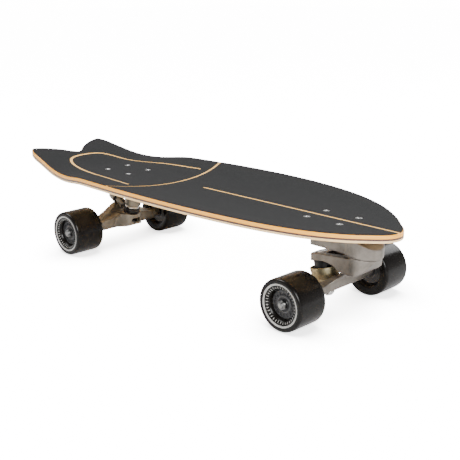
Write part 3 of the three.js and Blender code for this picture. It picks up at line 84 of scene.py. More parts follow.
def add_camera():
    data = bpy.data.cameras.new("view")
    data.sensor_width = SENSOR
    data.lens = LENS
    data.clip_start = CLIP_START
    camera = bpy.data.objects.new("view", data)
    right = CAMERA_RIGHT.normalized()
    back = right.cross(CAMERA_UP).normalized()
    up = back.cross(right)
    turn = Matrix((right, up, back)).transposed().to_4x4()
    camera.matrix_world = Matrix.Translation(CAMERA_PLACE) @ turn
    bpy.context.collection.objects.link(camera)
    bpy.context.scene.camera = camera


add_camera()


# Curves
STRAIGHT_TURN = math.radians(8)
SOFT_STEPS = 4
SOFT_SHARE = 0.45


def eased(share):
    t = min(1.0, max(0.0, share))
    return t * t * (3 - 2 * t)


def between(start, end, pull_in, pull_out, t):
    """A point of a smooth step from start to end, with the pull at each end."""
    keep = eased(t)
    return start * (1 - keep) + end * keep + pull_in * (t * (1 - t) ** 2) + pull_out * (t * t * (t - 1))


def through_table(table, at):
    """Smooth line through a table of pairs, the slope at each pair taken from its neighbours."""
    last = len(table) - 1

    def slope(i):
        x0, y0 = table[max(0, i - 1)]
        x1, y1 = table[min(last, i + 1)]
        return (y1 - y0) / (x1 - x0)

    i = 0
    while i < last - 1 and at > table[i + 1][0]:
        i += 1
    run = table[i + 1][0] - table[i][0]
    t = (at - table[i][0]) / run
    return between(table[i][1], table[i + 1][1], run * slope(i), run * slope(i + 1), t)


def smooth_run(points, steps):
    """Points along a smooth curve through given ones."""
    spots = [Vector(point) for point in points]
    last = len(spots) - 1
    run = []
    for i in range(last):
        pull_in = (spots[i + 1] - spots[max(0, i - 1)]) / 2
        pull_out = (spots[min(last, i + 2)] - spots[i]) / 2
        run += [tuple(between(spots[i], spots[i + 1], pull_in, pull_out, k / steps)) for k in range(steps)]
    return run + [tuple(spots[last])]


def softened(points, radius, closed=True):
    """A line with its corners rounded, each by the radius or as much as its sides allow."""
    spots = [Vector(point) for point in points]
    count = len(spots)
    line = []
    for i, corner in enumerate(spots):
        if not closed and i in (0, count - 1):
            line.append(tuple(corner))
            continue
        before = spots[i - 1] - corner
        after = spots[(i + 1) % count] - corner
        turn = math.pi - before.angle(after)
        if turn < STRAIGHT_TURN:
            line.append(tuple(corner))
            continue
        reach = min(radius * math.tan(turn / 2), SOFT_SHARE * before.length, SOFT_SHARE * after.length)
        start = corner + before.normalized() * reach
        end = corner + after.normalized() * reach
        for k in range(SOFT_STEPS + 1):
            t = k / SOFT_STEPS
            line.append(tuple(start * (1 - t) ** 2 + corner * (2 * t * (1 - t)) + end * t * t))
    return line


def circle_run(centre_x, radius, start, end, steps):
    turns = [start + (end - start) * k / steps for k in range(steps + 1)]
    return [(centre_x + radius * math.cos(turn), radius * math.sin(turn)) for turn in turns]


# Solids
CORNER_TURN_PER_MM = 0.05
WELD_DISTANCE = 0.002
FAR = 150
GAP = 0.3
CAST_SMOOTHING = 0.5
VOXEL = 0.8


def object_of(bm, smooth_angle=35):
    """Make an object of a bmesh, shaded smooth but for its corners."""
    bmesh.ops.recalc_face_normals(bm, faces=bm.faces[:])
    mesh = bpy.data.meshes.new("solid")
    bm.to_mesh(mesh)
    bm.free()
    mesh.shade_smooth()
    mesh.set_sharp_from_angle(angle=math.radians(smooth_angle))
    obj = bpy.data.objects.new("solid", mesh)
    bpy.context.collection.objects.link(obj)
    return obj


def drop(obj):
    data = obj.data
    bpy.data.objects.remove(obj)
    bpy.data.meshes.remove(data)


def bake(obj):
    """Put an object's modifiers into its mesh."""
    graph = bpy.context.evaluated_depsgraph_get()
    graph.update()
    baked = bpy.data.meshes.new_from_object(obj.evaluated_get(graph))
    obj.modifiers.clear()
    old = obj.data
    obj.data = baked
    bpy.data.meshes.remove(old)
    return obj


def combine(operation, target, others):
    for other in others:
        step = target.modifiers.new("combine", "BOOLEAN")
        step.operation = operation
        step.solver = "EXACT"
        step.object = other
    bake(target)
    for other in others:
        drop(other)
    bm = bmesh.new()
    bm.from_mesh(target.data)
    bmesh.ops.remove_doubles(bm, verts=bm.verts[:], dist=WELD_DISTANCE)
    bm.to_mesh(target.data)
    bm.free()
    return target


def cut(target, *others):
    return combine("DIFFERENCE", target, others)


def join(target, *others):
    return combine("UNION", target, others)


def overlap(target, *others):
    return combine("INTERSECT", target, others)


def copy_of(obj):
    twin = bpy.data.objects.new("solid", obj.data.copy())
    bpy.context.collection.objects.link(twin)
    return twin


def stacked(rings):
    """Join closed loops of points, from the lowest to the highest, and close both ends."""
    bm = bmesh.new()
    loops = [[bm.verts.new(point) for point in ring] for ring in rings]
    count = len(loops[0])
    for low, high in zip(loops, loops[1:]):
        for i in range(count):
            j = (i + 1) % count
            bm.faces.new((low[i], low[j], high[j], high[i]))
    bm.faces.new(list(reversed(loops[0])))
    bm.faces.new(loops[-1])
    return bm


def raised(points, bottom, top):
    """A plan outline raised from one height to another."""
    return object_of(stacked([[(x, y, z) for x, y in points] for z in (bottom, top)]))


def across(points, half_width):
    """A side outline, in X and Z, made as thick as twice the half width across Y."""
    return object_of(stacked([[(x, y, z) for x, z in points] for y in (-half_width, half_width)]))


def lathe(profile, sides=64):
    """A profile of radius and height turned about Z; one that starts off the axis is a ring."""
    bm = bmesh.new()
    rings = []
    # Solids start at different angles, as a cut fails where corners of two solids meet
    start = CORNER_TURN_PER_MM * max(radius for radius, height in profile)
    for radius, height in profile:
        turns = [start + math.tau * i / sides for i in range(sides if radius else 1)]
        rings.append([bm.verts.new((radius * math.cos(turn), radius * math.sin(turn), height))
                      for turn in turns])
    pairs = list(zip(rings, rings[1:]))
    if len(rings[0]) > 1 and len(rings[-1]) > 1:
        pairs.append((rings[-1], rings[0]))
    for low, high in pairs:
        for i in range(sides):
            j = (i + 1) % sides
            corners = [low[i % len(low)], low[j % len(low)], high[j % len(high)], high[i % len(high)]]
            bm.faces.new(list(dict.fromkeys(corners)))
    return object_of(bm)


def plain(radius, bottom, top, sides=48):
    return lathe([(0, bottom), (radius, bottom), (radius, top), (0, top)], sides)


def ring(inner, outer, bottom, top):
    return [(inner, bottom), (outer, bottom), (outer, top), (inner, top)]


def bar(radius, bottom, top, edge=0.4):
    """Profile of a plain round bar with softened ends."""
    return softened([(0, bottom), (radius, bottom), (radius, top), (0, top)], edge, closed=False)


def prism6(radius, bottom, top):
    """A hexagonal prism with flats to the front and back."""
    turns = [math.tau * (i + 0.5) / 6 for i in range(6)]
    points = [(radius * math.cos(turn), radius * math.sin(turn)) for turn in turns]
    return raised(points, bottom, top)


def moved(obj, matrix):
    obj.data.transform(matrix)
    return obj


def shifted(obj, x, y=0, z=0):
    return moved(obj, Matrix.Translation((x, y, z)))


def carrier(x, z, tilt):
    """What carries solids made about the Z axis onto a point, leaning in the XZ plane."""
    return lambda obj: moved(obj, Matrix.Translation((x, 0, z)) @ Matrix.Rotation(tilt, 4, "Y"))


def sideways(obj, x, z):
    """Lay a solid made about the Z axis across the board."""
    return moved(obj, Matrix.Translation((x, 0, z)) @ Matrix.Rotation(math.pi / 2, 4, "X"))


def cast(obj, rounds):
    """Soften every edge of a solid the way sand casting does."""
    step = obj.modifiers.new("skin", "REMESH")
    step.mode = "VOXEL"
    step.voxel_size = VOXEL
    step.use_smooth_shade = True
    soft = obj.modifiers.new("soften", "SMOOTH")
    soft.factor = CAST_SMOOTHING
    soft.iterations = rounds
    bake(obj)
    obj.data.shade_smooth()
    return obj


def piece(obj, name, finish, node):
    """Bring a solid to metres, name it, give it its finish and let it stand for its CAD node."""
    slot, *materials = finish
    obj.data.transform(Matrix.Scale(MM, 4))
    obj.name = name
    obj.data.name = name
    for material in materials:
        obj.data.materials.append(material)
    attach(obj, body_of(frame["nodes"][node])[0])
    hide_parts(node)


# Finishes

class Nodes:
    """The node tree of a material or a world, and the nodes that are used often."""

    def __init__(self, owner):
        owner.use_nodes = True
        self.nodes = owner.node_tree.nodes
        self.links = owner.node_tree.links

    def feed(self, node, inputs):
        """Set each input to a value, or link it to the output that is given for it."""
        for name, value in inputs.items():
            socket = node.inputs[name if isinstance(name, int) else name.replace("_", " ")]
            if isinstance(value, bpy.types.NodeSocket):
                self.links.new(value, socket)
            else:
                socket.default_value = value

    def node(self, kind, output, **inputs):
        node = self.nodes.new("ShaderNode" + kind)
        self.feed(node, inputs)
        return node.outputs[output]

    def worked(self, operation, first, second):
        node = self.nodes.new("ShaderNodeMath")
        node.operation = operation
        self.feed(node, {0: first, 1: second})
        return node.outputs["Value"]

    def ramp(self, value, *stops):
        node = self.nodes.new("ShaderNodeValToRGB")
        marks = node.color_ramp.elements
        while len(marks) < len(stops):
            marks.new(0.5)
        for mark, (position, color) in zip(marks, stops):
            mark.position = position
            mark.color = (*color, 1.0)
        self.links.new(value, node.inputs["Fac"])
        return node.outputs["Color"]

    def span(self, value, low, high, start=0.3, end=0.7):
        return self.node("MapRange", "Result", Value=value, From_Min=start, From_Max=end,
                         To_Min=low, To_Max=high)

    def mixed(self, share, first, second):
        node = self.nodes.new("ShaderNodeMix")
        node.data_type = "RGBA"
        first, second = ((*color, 1.0) if isinstance(color, tuple) else color for color in (first, second))
        self.feed(node, {0: share, 6: first, 7: second})
        return node.outputs[2]


class Finish(Nodes):
    """A material in the making: its textures read the piece's own coordinates."""

    def __init__(self, name, **settings):
        self.material = bpy.data.materials.new(name)
        super().__init__(self.material)
        self.shader = self.nodes["Principled BSDF"]
        self.place = self.node("TexCoord", "Object")
        self.feed(self.shader, settings)

    def noise(self, scale, detail=3.0, roughness=0.55, place=None, warp=0.0):
        return self.node("TexNoise", "Fac", Scale=scale, Detail=detail, Roughness=roughness, Distortion=warp,
                         Vector=place or self.place)

    def surface(self, color, roughness, *bumps):
        """Finish the shader; bumps are stacked, each a height, its strength and its depth in metres."""
        inputs = {"Base_Color": color, "Roughness": roughness}
        for height, strength, depth in bumps:
            below = {"Normal": inputs["Normal"]} if "Normal" in inputs else {}
            inputs["Normal"] = self.node("Bump", "Normal", Strength=strength, Distance=depth, Height=height,
                                         **below)
        self.feed(self.shader, inputs)
        return self.material


def grip_tape():
    look = Finish("grip_tape", Specular_IOR_Level=0.3)
    grit = look.noise(2600, 2.0, 0.7)
    grains = look.ramp(grit, (0.35, (0.003, 0.003, 0.0034)), (0.6, (0.011, 0.0112, 0.0115)),
                       (0.76, (0.060, 0.060, 0.062)))
    color = look.mixed(look.span(look.noise(35), 0.0, 0.3), grains, (0.0135, 0.0138, 0.0144))
    return look.surface(color, look.span(grit, 0.97, 0.72), (look.noise(900, 3.0, 0.6), 0.5, 0.0005),
                        (grit, 0.6, 0.0003))


SANDED = (1.0, 0.60, 0.20)
SEAM = (0.10, 0.045, 0.025)
NO_SEAM = 9.0


def wood(name, light, dark, line, seam=NO_SEAM):
    """Veneer with long grain; glue lines, seam and sanded bare lines follow each point's depth in plies."""
    look = Finish(name, Coat_Weight=0.25, Coat_Roughness=0.25)
    long_grain = look.node("Mapping", "Vector", Vector=look.place, Scale=(1.0, 26.0, 60.0))
    long_pores = look.node("Mapping", "Vector", Vector=look.place, Scale=(1.0, 30.0, 30.0))
    grain = look.noise(9, 5.0, 0.6, long_grain, 0.6)
    pores = look.noise(60, 2.0, 0.6, long_pores)
    veneer = look.ramp(grain, (0.3, dark), (0.7, light))
    veneer = look.mixed(look.span(pores, 0.0, 0.35, 0.55, 0.75), veneer, dark)
    attribute = look.nodes.new("ShaderNodeAttribute")
    attribute.attribute_name = "depth"
    depth = attribute.outputs["Fac"]
    to_glue = look.worked("PINGPONG", depth, 0.5)
    veneer = look.mixed(look.span(to_glue, 0.4, 0.0, 0.0, 0.1), veneer, line)
    veneer = look.mixed(look.span(depth, 0.0, 1.0, seam, seam + 0.2), veneer, SEAM)
    veneer = look.mixed(look.span(depth, 0.9, 0.0, -0.35, -0.1), veneer, SANDED)
    return look.surface(veneer, look.span(grain, 0.34, 0.5), (pores, 0.25, 0.0002))


def cast_metal(name, light, dark, roughness):
    look = Finish(name, Metallic=0.85)
    sand = look.noise(1500, 3.0, 0.65)
    pits = look.node("TexVoronoi", "Distance", Scale=600, Vector=look.place)
    tone = look.ramp(look.noise(55, 4.0, 0.6), (0.3, dark), (0.7, light))
    shade = look.mixed(look.span(sand, 0.0, 0.45), tone, dark)
    pitted = tuple(0.6 * channel for channel in dark)
    return look.surface(look.mixed(look.span(pits, 0.3, 0.0, 0.05, 0.2), shade, pitted),
                        look.span(sand, roughness + 0.1, roughness - 0.08),
                        (look.noise(260), 0.25, 0.0004), (sand, 0.35, 0.00025))


def steel(name, light, dark, roughness):
    look = Finish(name, Metallic=1.0)
    fine = look.noise(2400, 2.0)
    color = look.ramp(look.noise(240), (0.3, dark), (0.7, light))
    return look.surface(color, look.span(fine, roughness - 0.06, roughness + 0.1), (fine, 0.12, 0.0001))


def yellow_zinc():
    look = Finish("yellow_zinc", Metallic=1.0)
    fine = look.noise(1800, 2.0)
    gold = look.ramp(look.noise(160), (0.3, (0.25, 0.20, 0.115)), (0.7, (0.44, 0.37, 0.23)))
    color = look.mixed(look.span(look.noise(90, 2.0), 0.0, 0.3), gold, (0.30, 0.33, 0.22))
    return look.surface(color, look.span(fine, 0.34, 0.52), (fine, 0.12, 0.0001))


def moulded(name, light, dark, roughness, grain, gloss=0.5):
    """Plastic or urethane: an even tone, a faint cloud and a fine moulded skin."""
    look = Finish(name, Specular_IOR_Level=gloss)
    skin = look.noise(grain)
    color = look.ramp(look.noise(45), (0.3, dark), (0.7, light))
    return look.surface(color, look.span(skin, roughness - 0.05, roughness + 0.09), (skin, 0.12, 0.00015))


def dressed(maker, slot, *settings):
    """A material slot of the record, and the material that dresses it and takes its name."""
    return slot, maker(slot, *settings)


GRIP = ("grip_tape", grip_tape())
MAPLE = dressed(wood, "maple", (1.0, 0.48, 0.04), (0.94, 0.38, 0.025), (0.50, 0.19, 0.02), 2.75)
DYED = dressed(wood, "dyed_maple", (0.075, 0.035, 0.022), (0.045, 0.020, 0.013), (0.03, 0.014, 0.010))
PALE = dressed(wood, "pale_maple", (0.95, 0.68, 0.36), (0.84, 0.55, 0.25), (0.50, 0.27, 0.10))
GREY_CAST = dressed(cast_metal, "grey_cast", (0.27, 0.245, 0.215), (0.15, 0.134, 0.118), 0.44)
BROWN_CAST = dressed(cast_metal, "brown_cast", (0.33, 0.30, 0.25), (0.18, 0.16, 0.13), 0.46)
STEEL = dressed(steel, "bright_steel", (0.72, 0.72, 0.71), (0.52, 0.52, 0.52), 0.26)
DULL_STEEL = ("bright_steel", steel("dull_steel", (0.26, 0.26, 0.25), (0.13, 0.13, 0.13), 0.3))
SPRING = dressed(steel, "spring_steel", (0.24, 0.24, 0.25), (0.13, 0.13, 0.14), 0.34)
ZINC = ("yellow_zinc", yellow_zinc())
BUSHING = dressed(moulded, "black_urethane", (0.012, 0.011, 0.011), (0.007, 0.007, 0.007), 0.4, 900, 0.3)
PLASTIC = dressed(moulded, "black_plastic", (0.014, 0.014, 0.015), (0.008, 0.008, 0.009), 0.5, 1600, 0.3)
CORE = dressed(moulded, "core_plastic", (0.016, 0.016, 0.017), (0.009, 0.009, 0.010), 0.3, 1400, 0.5)
RACE_STEEL = steel("race_steel", (0.12, 0.12, 0.12), (0.06, 0.06, 0.06), 0.3)
BEARING = ("bright_steel", RACE_STEEL, PLASTIC[1])
PRINT = moulded("wheel_print", (0.40, 0.39, 0.37), (0.28, 0.275, 0.26), 0.42, 1100)
TREAD = dressed(moulded, "wheel_urethane", (0.005, 0.0042, 0.0036), (0.003, 0.0026, 0.0022), 0.2, 260, 0.15)
TYRE_FINISH = (*TREAD, PRINT)


# Deck: sizes as in the CAD model
TOP_PLIES = 5.3
DYED_PLY = 1.6
BOTTOM_PLIES = 3.1
GLUE_LINE = 0.1
GRIP_THICKNESS = 1.0
GRIP_INSET = 1.8
GRIP_HOLE_GAP = 0.35
TOP_EDGE_RADIUS = 1.6
BOTTOM_EDGE_RADIUS = 0.8
GROOVE_WIDTH = 5.0
BARE_RISE = 0.6
BARE_ROOT = 0.5
BARE_GAP = 0.2
DYED_INSET = 0.05
COUNTERSINK = 2.3
CONCAVE_RISE = 9.8
TAIL_CONCAVE_RISE = 2.5
CONCAVE_FADE_START = 146.0
CONCAVE_FADE_END = 226.0
KICK_START = 228.0
KICK_BLEND = 60.0
KICK_SLOPE_SHARE = 0.225
NOTCH_DEPTH = 38.0
NOTCH_HALF_WIDTH = 68.0
ARC_APEX_X = 51.5
ARC_RADIUS = 255.0
STRINGER_END_X = 3.0
TAIL_LINE_END_X = 300.0
TAIL_LINE_START_X = 81.0
TAIL_LINE_HALF_WIDTH = 75.0

top_low, top_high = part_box("deck_top_plies")
HALF_LENGTH = top_high[0] / MM
HALF_WIDTH = 123.0
DECK_TOP = top_low[2] / MM + TOP_PLIES
DECK_THICKNESS = TOP_PLIES + DYED_PLY + BOTTOM_PLIES + 2 * GLUE_LINE

# Outline: shares of the length back from the nose, and of half the width
RAIL_SHARES = [
    (0, 0), (0.0296, 0.285), (0.0577, 0.4455), (0.1141, 0.6667), (0.1704, 0.8008), (0.2268, 0.8854),
    (0.3113, 0.9593), (0.3958, 0.9927), (0.4718, 1), (0.5648, 0.9878), (0.6493, 0.9561), (0.7056, 0.9301),
    (0.762, 0.8813), (0.8183, 0.8089), (0.8746, 0.7439), (0.931, 0.683), (0.969, 0.65),
]
NOTCH_SHARES = [(0.026, 0.88), (0.158, 0.676), (0.342, 0.485), (0.579, 0.294), (0.79, 0.18), (0.95, 0.07)]
TAIL_LINE_SHARES = [
    (0, 1), (0.224, 0.937), (0.416, 0.86), (0.598, 0.753), (0.744, 0.667), (0.858, 0.6),
    (0.932, 0.507), (0.977, 0.373), (0.998, 0.16),
]
RAIL_STEPS = 90
CORNER_STEPS = 8
NOTCH_STEPS = 4
GRID_STEP = 9.0
ARC_SIDES = 360
TAIL_LINE_STEPS = 5
REACH = 5


def kick_at(x):
    behind = -KICK_START - x
    if behind <= 0:
        return 0.0
    if behind < KICK_BLEND:
        return KICK_SLOPE_SHARE * behind * behind / (2 * KICK_BLEND)
    return KICK_SLOPE_SHARE * (behind - KICK_BLEND / 2)


def surface_at(x, y):
    """Height of the deck's top: concave across, flat along, with a kicked tail."""
    fade = eased((-CONCAVE_FADE_START - x) / (CONCAVE_FADE_END - CONCAVE_FADE_START))
    rise = CONCAVE_RISE + (TAIL_CONCAVE_RISE - CONCAVE_RISE) * fade
    return DECK_TOP + kick_at(x) + rise * (y / HALF_WIDTH) ** 2


def tail_point(deep, wide):
    return (-HALF_LENGTH + NOTCH_DEPTH * deep, NOTCH_HALF_WIDTH * wide)


def deck_side():
    """The left half of the outline, from the nose round to the notch."""
    roots = [(math.sqrt(along), wide) for along, wide in RAIL_SHARES]
    side = []
    for i in range(1, RAIL_STEPS + 1):
        root = roots[-1][0] * i / RAIL_STEPS
        side.append((HALF_LENGTH - 2 * HALF_LENGTH * root * root, HALF_WIDTH * through_table(roots, root)))
    rail = Vector(side[-1])
    tip = Vector(tail_point(0, 1))
    pull = Vector((-HALF_LENGTH, (rail.y + NOTCH_HALF_WIDTH) / 2))
    for i in range(1, CORNER_STEPS):
        t = i / CORNER_STEPS
        side.append(tuple(rail * (1 - t) ** 2 + pull * (2 * t * (1 - t)) + tip * t * t))
    notch = [tail_point(0, 1)] + [tail_point(*share) for share in NOTCH_SHARES] + [tail_point(1, 0)]
    return side + smooth_run(notch, NOTCH_STEPS)[:-1]


SIDE = deck_side()
OUTLINE = [(HALF_LENGTH, 0.0)] + SIDE + [tail_point(1, 0)] + [(x, -y) for x, y in reversed(SIDE)]


def inset_outline(inset):
    """The outline drawn in by an inset, each point along its own inward direction."""
    drawn = []
    for i, (x, y) in enumerate(OUTLINE):
        ax, ay = OUTLINE[i - 1]
        bx, by = OUTLINE[(i + 1) % len(OUTLINE)]
        length = math.hypot(bx - ax, by - ay)
        drawn.append((x - inset * (by - ay) / length, y + inset * (bx - ax) / length))
    return drawn


FRONT_BOLTS_X = 250.5
REAR_BOLTS_X = -178.5
BOLTS_AHEAD = 27.0
BOLTS_ASIDE = 20.65
BOLT_HEAD_RADIUS = 4.9
BOLT_RADIUS = 2.4


def bolt_spots(centre_x):
    return [(centre_x + BOLTS_AHEAD * ahead, BOLTS_ASIDE * left) for ahead in (1, -1) for left in (1, -1)]


def bolt_holes(radius, bottom, top):
    spots = bolt_spots(FRONT_BOLTS_X) + bolt_spots(REAR_BOLTS_X)
    return [shifted(plain(radius, bottom, top, 40), x, y) for x, y in spots]


def curved_to_deck(flat):
    """Cut a flat sheet into a grid and lift it onto the deck's curved surface."""
    bm = bmesh.new()
    bm.from_mesh(flat.data)
    drop(flat)
    rows = int(2 * HALF_WIDTH / GRID_STEP)
    cuts = [(Vector((0, GRID_STEP * (i - rows / 2), 0)), Vector((0, 1, 0))) for i in range(rows + 1)]
    x = -CONCAVE_FADE_START
    while x > -HALF_LENGTH:
        cuts.append((Vector((x, 0, 0)), Vector((1, 0, 0))))
        x -= GRID_STEP / 2
    for place, normal in cuts:
        parts = bm.verts[:] + bm.edges[:] + bm.faces[:]
        bmesh.ops.bisect_plane(bm, geom=parts, dist=1e-5, plane_co=place, plane_no=normal)
    depth = bm.verts.layers.float.new("depth")
    for vert in bm.verts:
        vert[depth] = -vert.co.z / DYED_PLY
        vert.co.z += surface_at(vert.co.x, vert.co.y)
    return object_of(bm, 30)


def deck_sheet(levels):
    """A sheet of the deck's outline through levels of inset and depth."""
    return object_of(stacked([[(x, y, depth) for x, y in inset_outline(inset)] for inset, depth in levels]))


def rounded_edge(inset, depth, into):
    """Levels of a quarter-round edge that ends at a depth; into is 1 going up and -1 going down."""
    turns = [math.pi / 8 * i for i in range(5)]
    return [(inset * (1 - math.cos(turn)), depth - into * inset * (1 - math.sin(turn))) for turn in turns]


def line_band(points, width):
    """Outline of a line of some width that runs through points."""
    left, right = [], []
    for i, (x, y) in enumerate(points):
        ax, ay = points[max(0, i - 1)]
        bx, by = points[min(len(points) - 1, i + 1)]
        length = math.hypot(bx - ax, by - ay)
        nx, ny = (ay - by) / length * width / 2, (bx - ax) / length * width / 2
        left.append((x + nx, y + ny))
        right.append((x - nx, y - ny))
    return left + right[::-1]


def tail_line():
    run = TAIL_LINE_END_X - TAIL_LINE_START_X
    side = [(-TAIL_LINE_START_X - run * back, TAIL_LINE_HALF_WIDTH * wide) for back, wide in TAIL_LINE_SHARES]
    return side + [(-TAIL_LINE_END_X, 0.0)] + [(x, -y) for x, y in reversed(side)]


def arc_disc(radius):
    last = ARC_SIDES - 1
    edge = circle_run(-ARC_APEX_X - ARC_RADIUS, radius, 0, math.tau * last / ARC_SIDES, last)
    return raised(edge, -REACH, REACH)


def dividers(inset):
    """Solids of the bare lines: the arc's outer and inner disc, the line to the nose and the tail's line."""
    half = GROOVE_WIDTH / 2 - inset
    start, end = STRINGER_END_X + inset, HALF_LENGTH + REACH
    stringer = raised([(start, -half), (end, -half), (end, half), (start, half)], -REACH, REACH)
    tail = raised(line_band(smooth_run(tail_line(), TAIL_LINE_STEPS), 2 * half), -REACH, REACH)
    return arc_disc(ARC_RADIUS + half), arc_disc(ARC_RADIUS - half), stringer, tail


def bare_lines():
    """Wood that stands nearly flush between the grip's sheets, so that the lines show from low down."""
    blank = raised(inset_outline(GRIP_INSET + GAP), -BARE_ROOT, BARE_RISE)
    outer, inner, stringer, tail = dividers(BARE_GAP)
    arc = cut(overlap(copy_of(blank), outer), inner)
    return arc, overlap(stringer, copy_of(blank)), overlap(tail, blank)


def make_deck():
    dyed_top = -TOP_PLIES - GLUE_LINE
    dyed_bottom = dyed_top - DYED_PLY
    top = join(deck_sheet([(0, -TOP_PLIES)] + rounded_edge(TOP_EDGE_RADIUS, 0, 1)), *bare_lines())
    dyed = deck_sheet([(DYED_INSET, dyed_bottom), (DYED_INSET, dyed_top)])
    pale_edge = rounded_edge(BOTTOM_EDGE_RADIUS, -DECK_THICKNESS, -1)[::-1]
    pale = deck_sheet(pale_edge + [(0, dyed_bottom - GLUE_LINE)])
    sinks = bolt_holes(BOLT_HEAD_RADIUS + GAP, -COUNTERSINK, REACH)
    for sheet, veneer, finish, ply, more in ((top, "top_veneers", MAPLE, "top_plies", sinks),
                                             (dyed, "dyed_veneer", DYED, "dyed_ply", []),
                                             (pale, "bottom_veneers", PALE, "bottom_plies", [])):
        shanks = bolt_holes(BOLT_RADIUS + GAP, -DECK_THICKNESS - REACH, -COUNTERSINK + 0.1)
        piece(curved_to_deck(cut(sheet, *shanks, *more)), f"deck_{veneer}", finish, f"deck_{ply}")


def make_grip():
    tape = raised(inset_outline(GRIP_INSET), GLUE_LINE, GLUE_LINE + GRIP_THICKNESS)
    tape = cut(tape, *bolt_holes(BOLT_HEAD_RADIUS + GRIP_HOLE_GAP, -REACH, REACH))
    outer, inner, stringer, tail = dividers(0)
    rear = cut(overlap(copy_of(tape), inner), tail)
    piece(curved_to_deck(cut(tape, outer, stringer)), "grip_front_sheet", GRIP, "front_grip")
    piece(curved_to_deck(rear), "grip_tail_sheet", GRIP, "rear_grip")


make_deck()
make_grip()


# Deck bolts, from the head in the grip to the nut under the base plate
BOLT_HEAD_HEIGHT = 2.6
BOLT_TAIL = 1.5
DECK_BOLT_TAIL = 4.0
BOLT_NUT_RADIUS = 5.0
BOLT_NUT_HEIGHT = 3.8
SLOT_TURN = 0.3


def hex_nut(radius, bottom, top, hole, collar=0.0):
    """A nut with rounded corners, and a collar on top where it has a locking ring."""
    flat = radius * math.cos(math.pi / 6)
    lift = (radius - flat) * 0.8
    near, far = flat + 0.1, radius + 0.1
    dome = lathe([(0, bottom), (near, bottom), (far, bottom + lift), (far, top - lift), (near, top),
                  (0, top)], 48)
    nut = overlap(prism6(radius, bottom, top), dome)
    if collar:
        nut = join(nut, lathe(bar(flat - 0.4, top - 0.2, top + collar, 0.7), 48))
    if hole:
        nut = cut(nut, plain(hole, bottom - 5, top + 5, 32))
    return nut


def deck_bolt(end, number, x, y, flange_under):
    top = surface_at(x, y) + GRIP_THICKNESS
    nut_top = flange_under - GAP
    nut_bottom = nut_top - BOLT_NUT_HEIGHT
    end_z = nut_bottom - DECK_BOLT_TAIL
    shank, head = BOLT_RADIUS, BOLT_HEAD_RADIUS
    bolt = lathe([(0, end_z), (shank - 0.4, end_z), (shank, end_z + 0.4), (shank, top - BOLT_HEAD_HEIGHT),
                  (head, top - 0.45), (head, top - 0.2), (head - 0.3, top - 0.04), (3.4, top), (0, top)], 40)
    slots = []
    for turn in (SLOT_TURN, SLOT_TURN + math.pi / 2):
        blade = stacked([[(-long, -wide, z), (long, -wide, z), (long, wide, z), (-long, wide, z)]
                         for long, wide, z in ((1.3, 0.45, -1.5), (2.7, 0.65, 0.3))])
        slots.append(moved(object_of(blade), Matrix.Translation((0, 0, top)) @ Matrix.Rotation(turn, 4, "Z")))
    bolt = cut(join(bolt, hex_nut(BOLT_NUT_RADIUS, nut_bottom, nut_top, 0)), *slots)
    piece(shifted(bolt, x, y), f"{end}_deck_screw_{number}", STEEL, f"{end}_deck_bolt_{number}")


FRONT_BASE_TOP = 110.6
REAR_BASE_TOP = 105.2
FLANGE_THICKNESS = 6.0
TRUCKS = {"front": (FRONT_BOLTS_X, 0, FRONT_BASE_TOP), "rear": (REAR_BOLTS_X, 0, REAR_BASE_TOP)}
for end, (bolts_x, _, base_top) in TRUCKS.items():
    for number, (x, y) in enumerate(bolt_spots(bolts_x), 1):
        deck_bolt(end, number, x, y, base_top - FLANGE_THICKNESS)


# Wheels, made about Z with their outer face up, and laid over to face left or right
WHEEL_RADIUS = 35.0
WHEEL_WIDTH = 50.0
CORE_RADIUS = 18.5
CORE_HALF = 16.5
BEARING_RADIUS = 11.0
BEARING_WIDTH = 7.0
AXLE_RADIUS = 4.0
AXLE_NUT_RADIUS = 6.8
AXLE_NUT_HEIGHT = 5.2
NUT_COLLAR = 1.3
AXLE_TAIL = 1.4
BEARING_SEAT_GAP = 0.15
THREAD_GAP = 0.05
TICK_INNER = 21.6
TICK_OUTER = 24.2
PRINT_INNER = 26.2
PRINT_OUTER = 28.6
TYRE_SIDES = 180
TICK_DEGREES = 2
TICK_EVERY = 5
CORE_RIBS = 15


def wheel_matrix(x, track, left):
    centre = track / 2 - WHEEL_WIDTH / 2
    return Matrix.Translation((x, left * centre, WHEEL_RADIUS)) @ Matrix.Rotation(-left * math.pi / 2, 4, "X")


def tyre():
    """Urethane tyre: a dished printed face, a rounded shoulder and a plain tread."""
    half = WHEEL_WIDTH / 2
    shoulder = [(31.2, half), (32.6, half - 0.12), (33.7, half - 0.75), (34.5, half - 1.9),
                (34.88, half - 3.4), (WHEEL_RADIUS, half - 5.2)]
    face = [(18.8, CORE_HALF), (20.4, 20.2), (TICK_INNER, 21.9), (TICK_OUTER, 23.3), (PRINT_INNER, 23.8),
            (PRINT_OUTER, 24.4)] + shoulder
    back = [(18.8, CORE_HALF), (20.6, 20.6), (22.4, 22.7), (24.4, 23.5)] + shoulder
    solid = lathe(face + [(radius, -height) for radius, height in reversed(back)], TYRE_SIDES)
    for side in solid.data.polygons:
        spot = side.center
        radius = math.hypot(spot.x, spot.y)
        step = int(math.degrees(math.atan2(spot.y, spot.x)) % 360 / TICK_DEGREES)
        line = PRINT_INNER < radius < PRINT_OUTER
        tick = TICK_INNER < radius < TICK_OUTER and step % TICK_EVERY == 0
        side.material_index = 1 if spot.z > CORE_HALF and (line or tick) else 0
    return solid


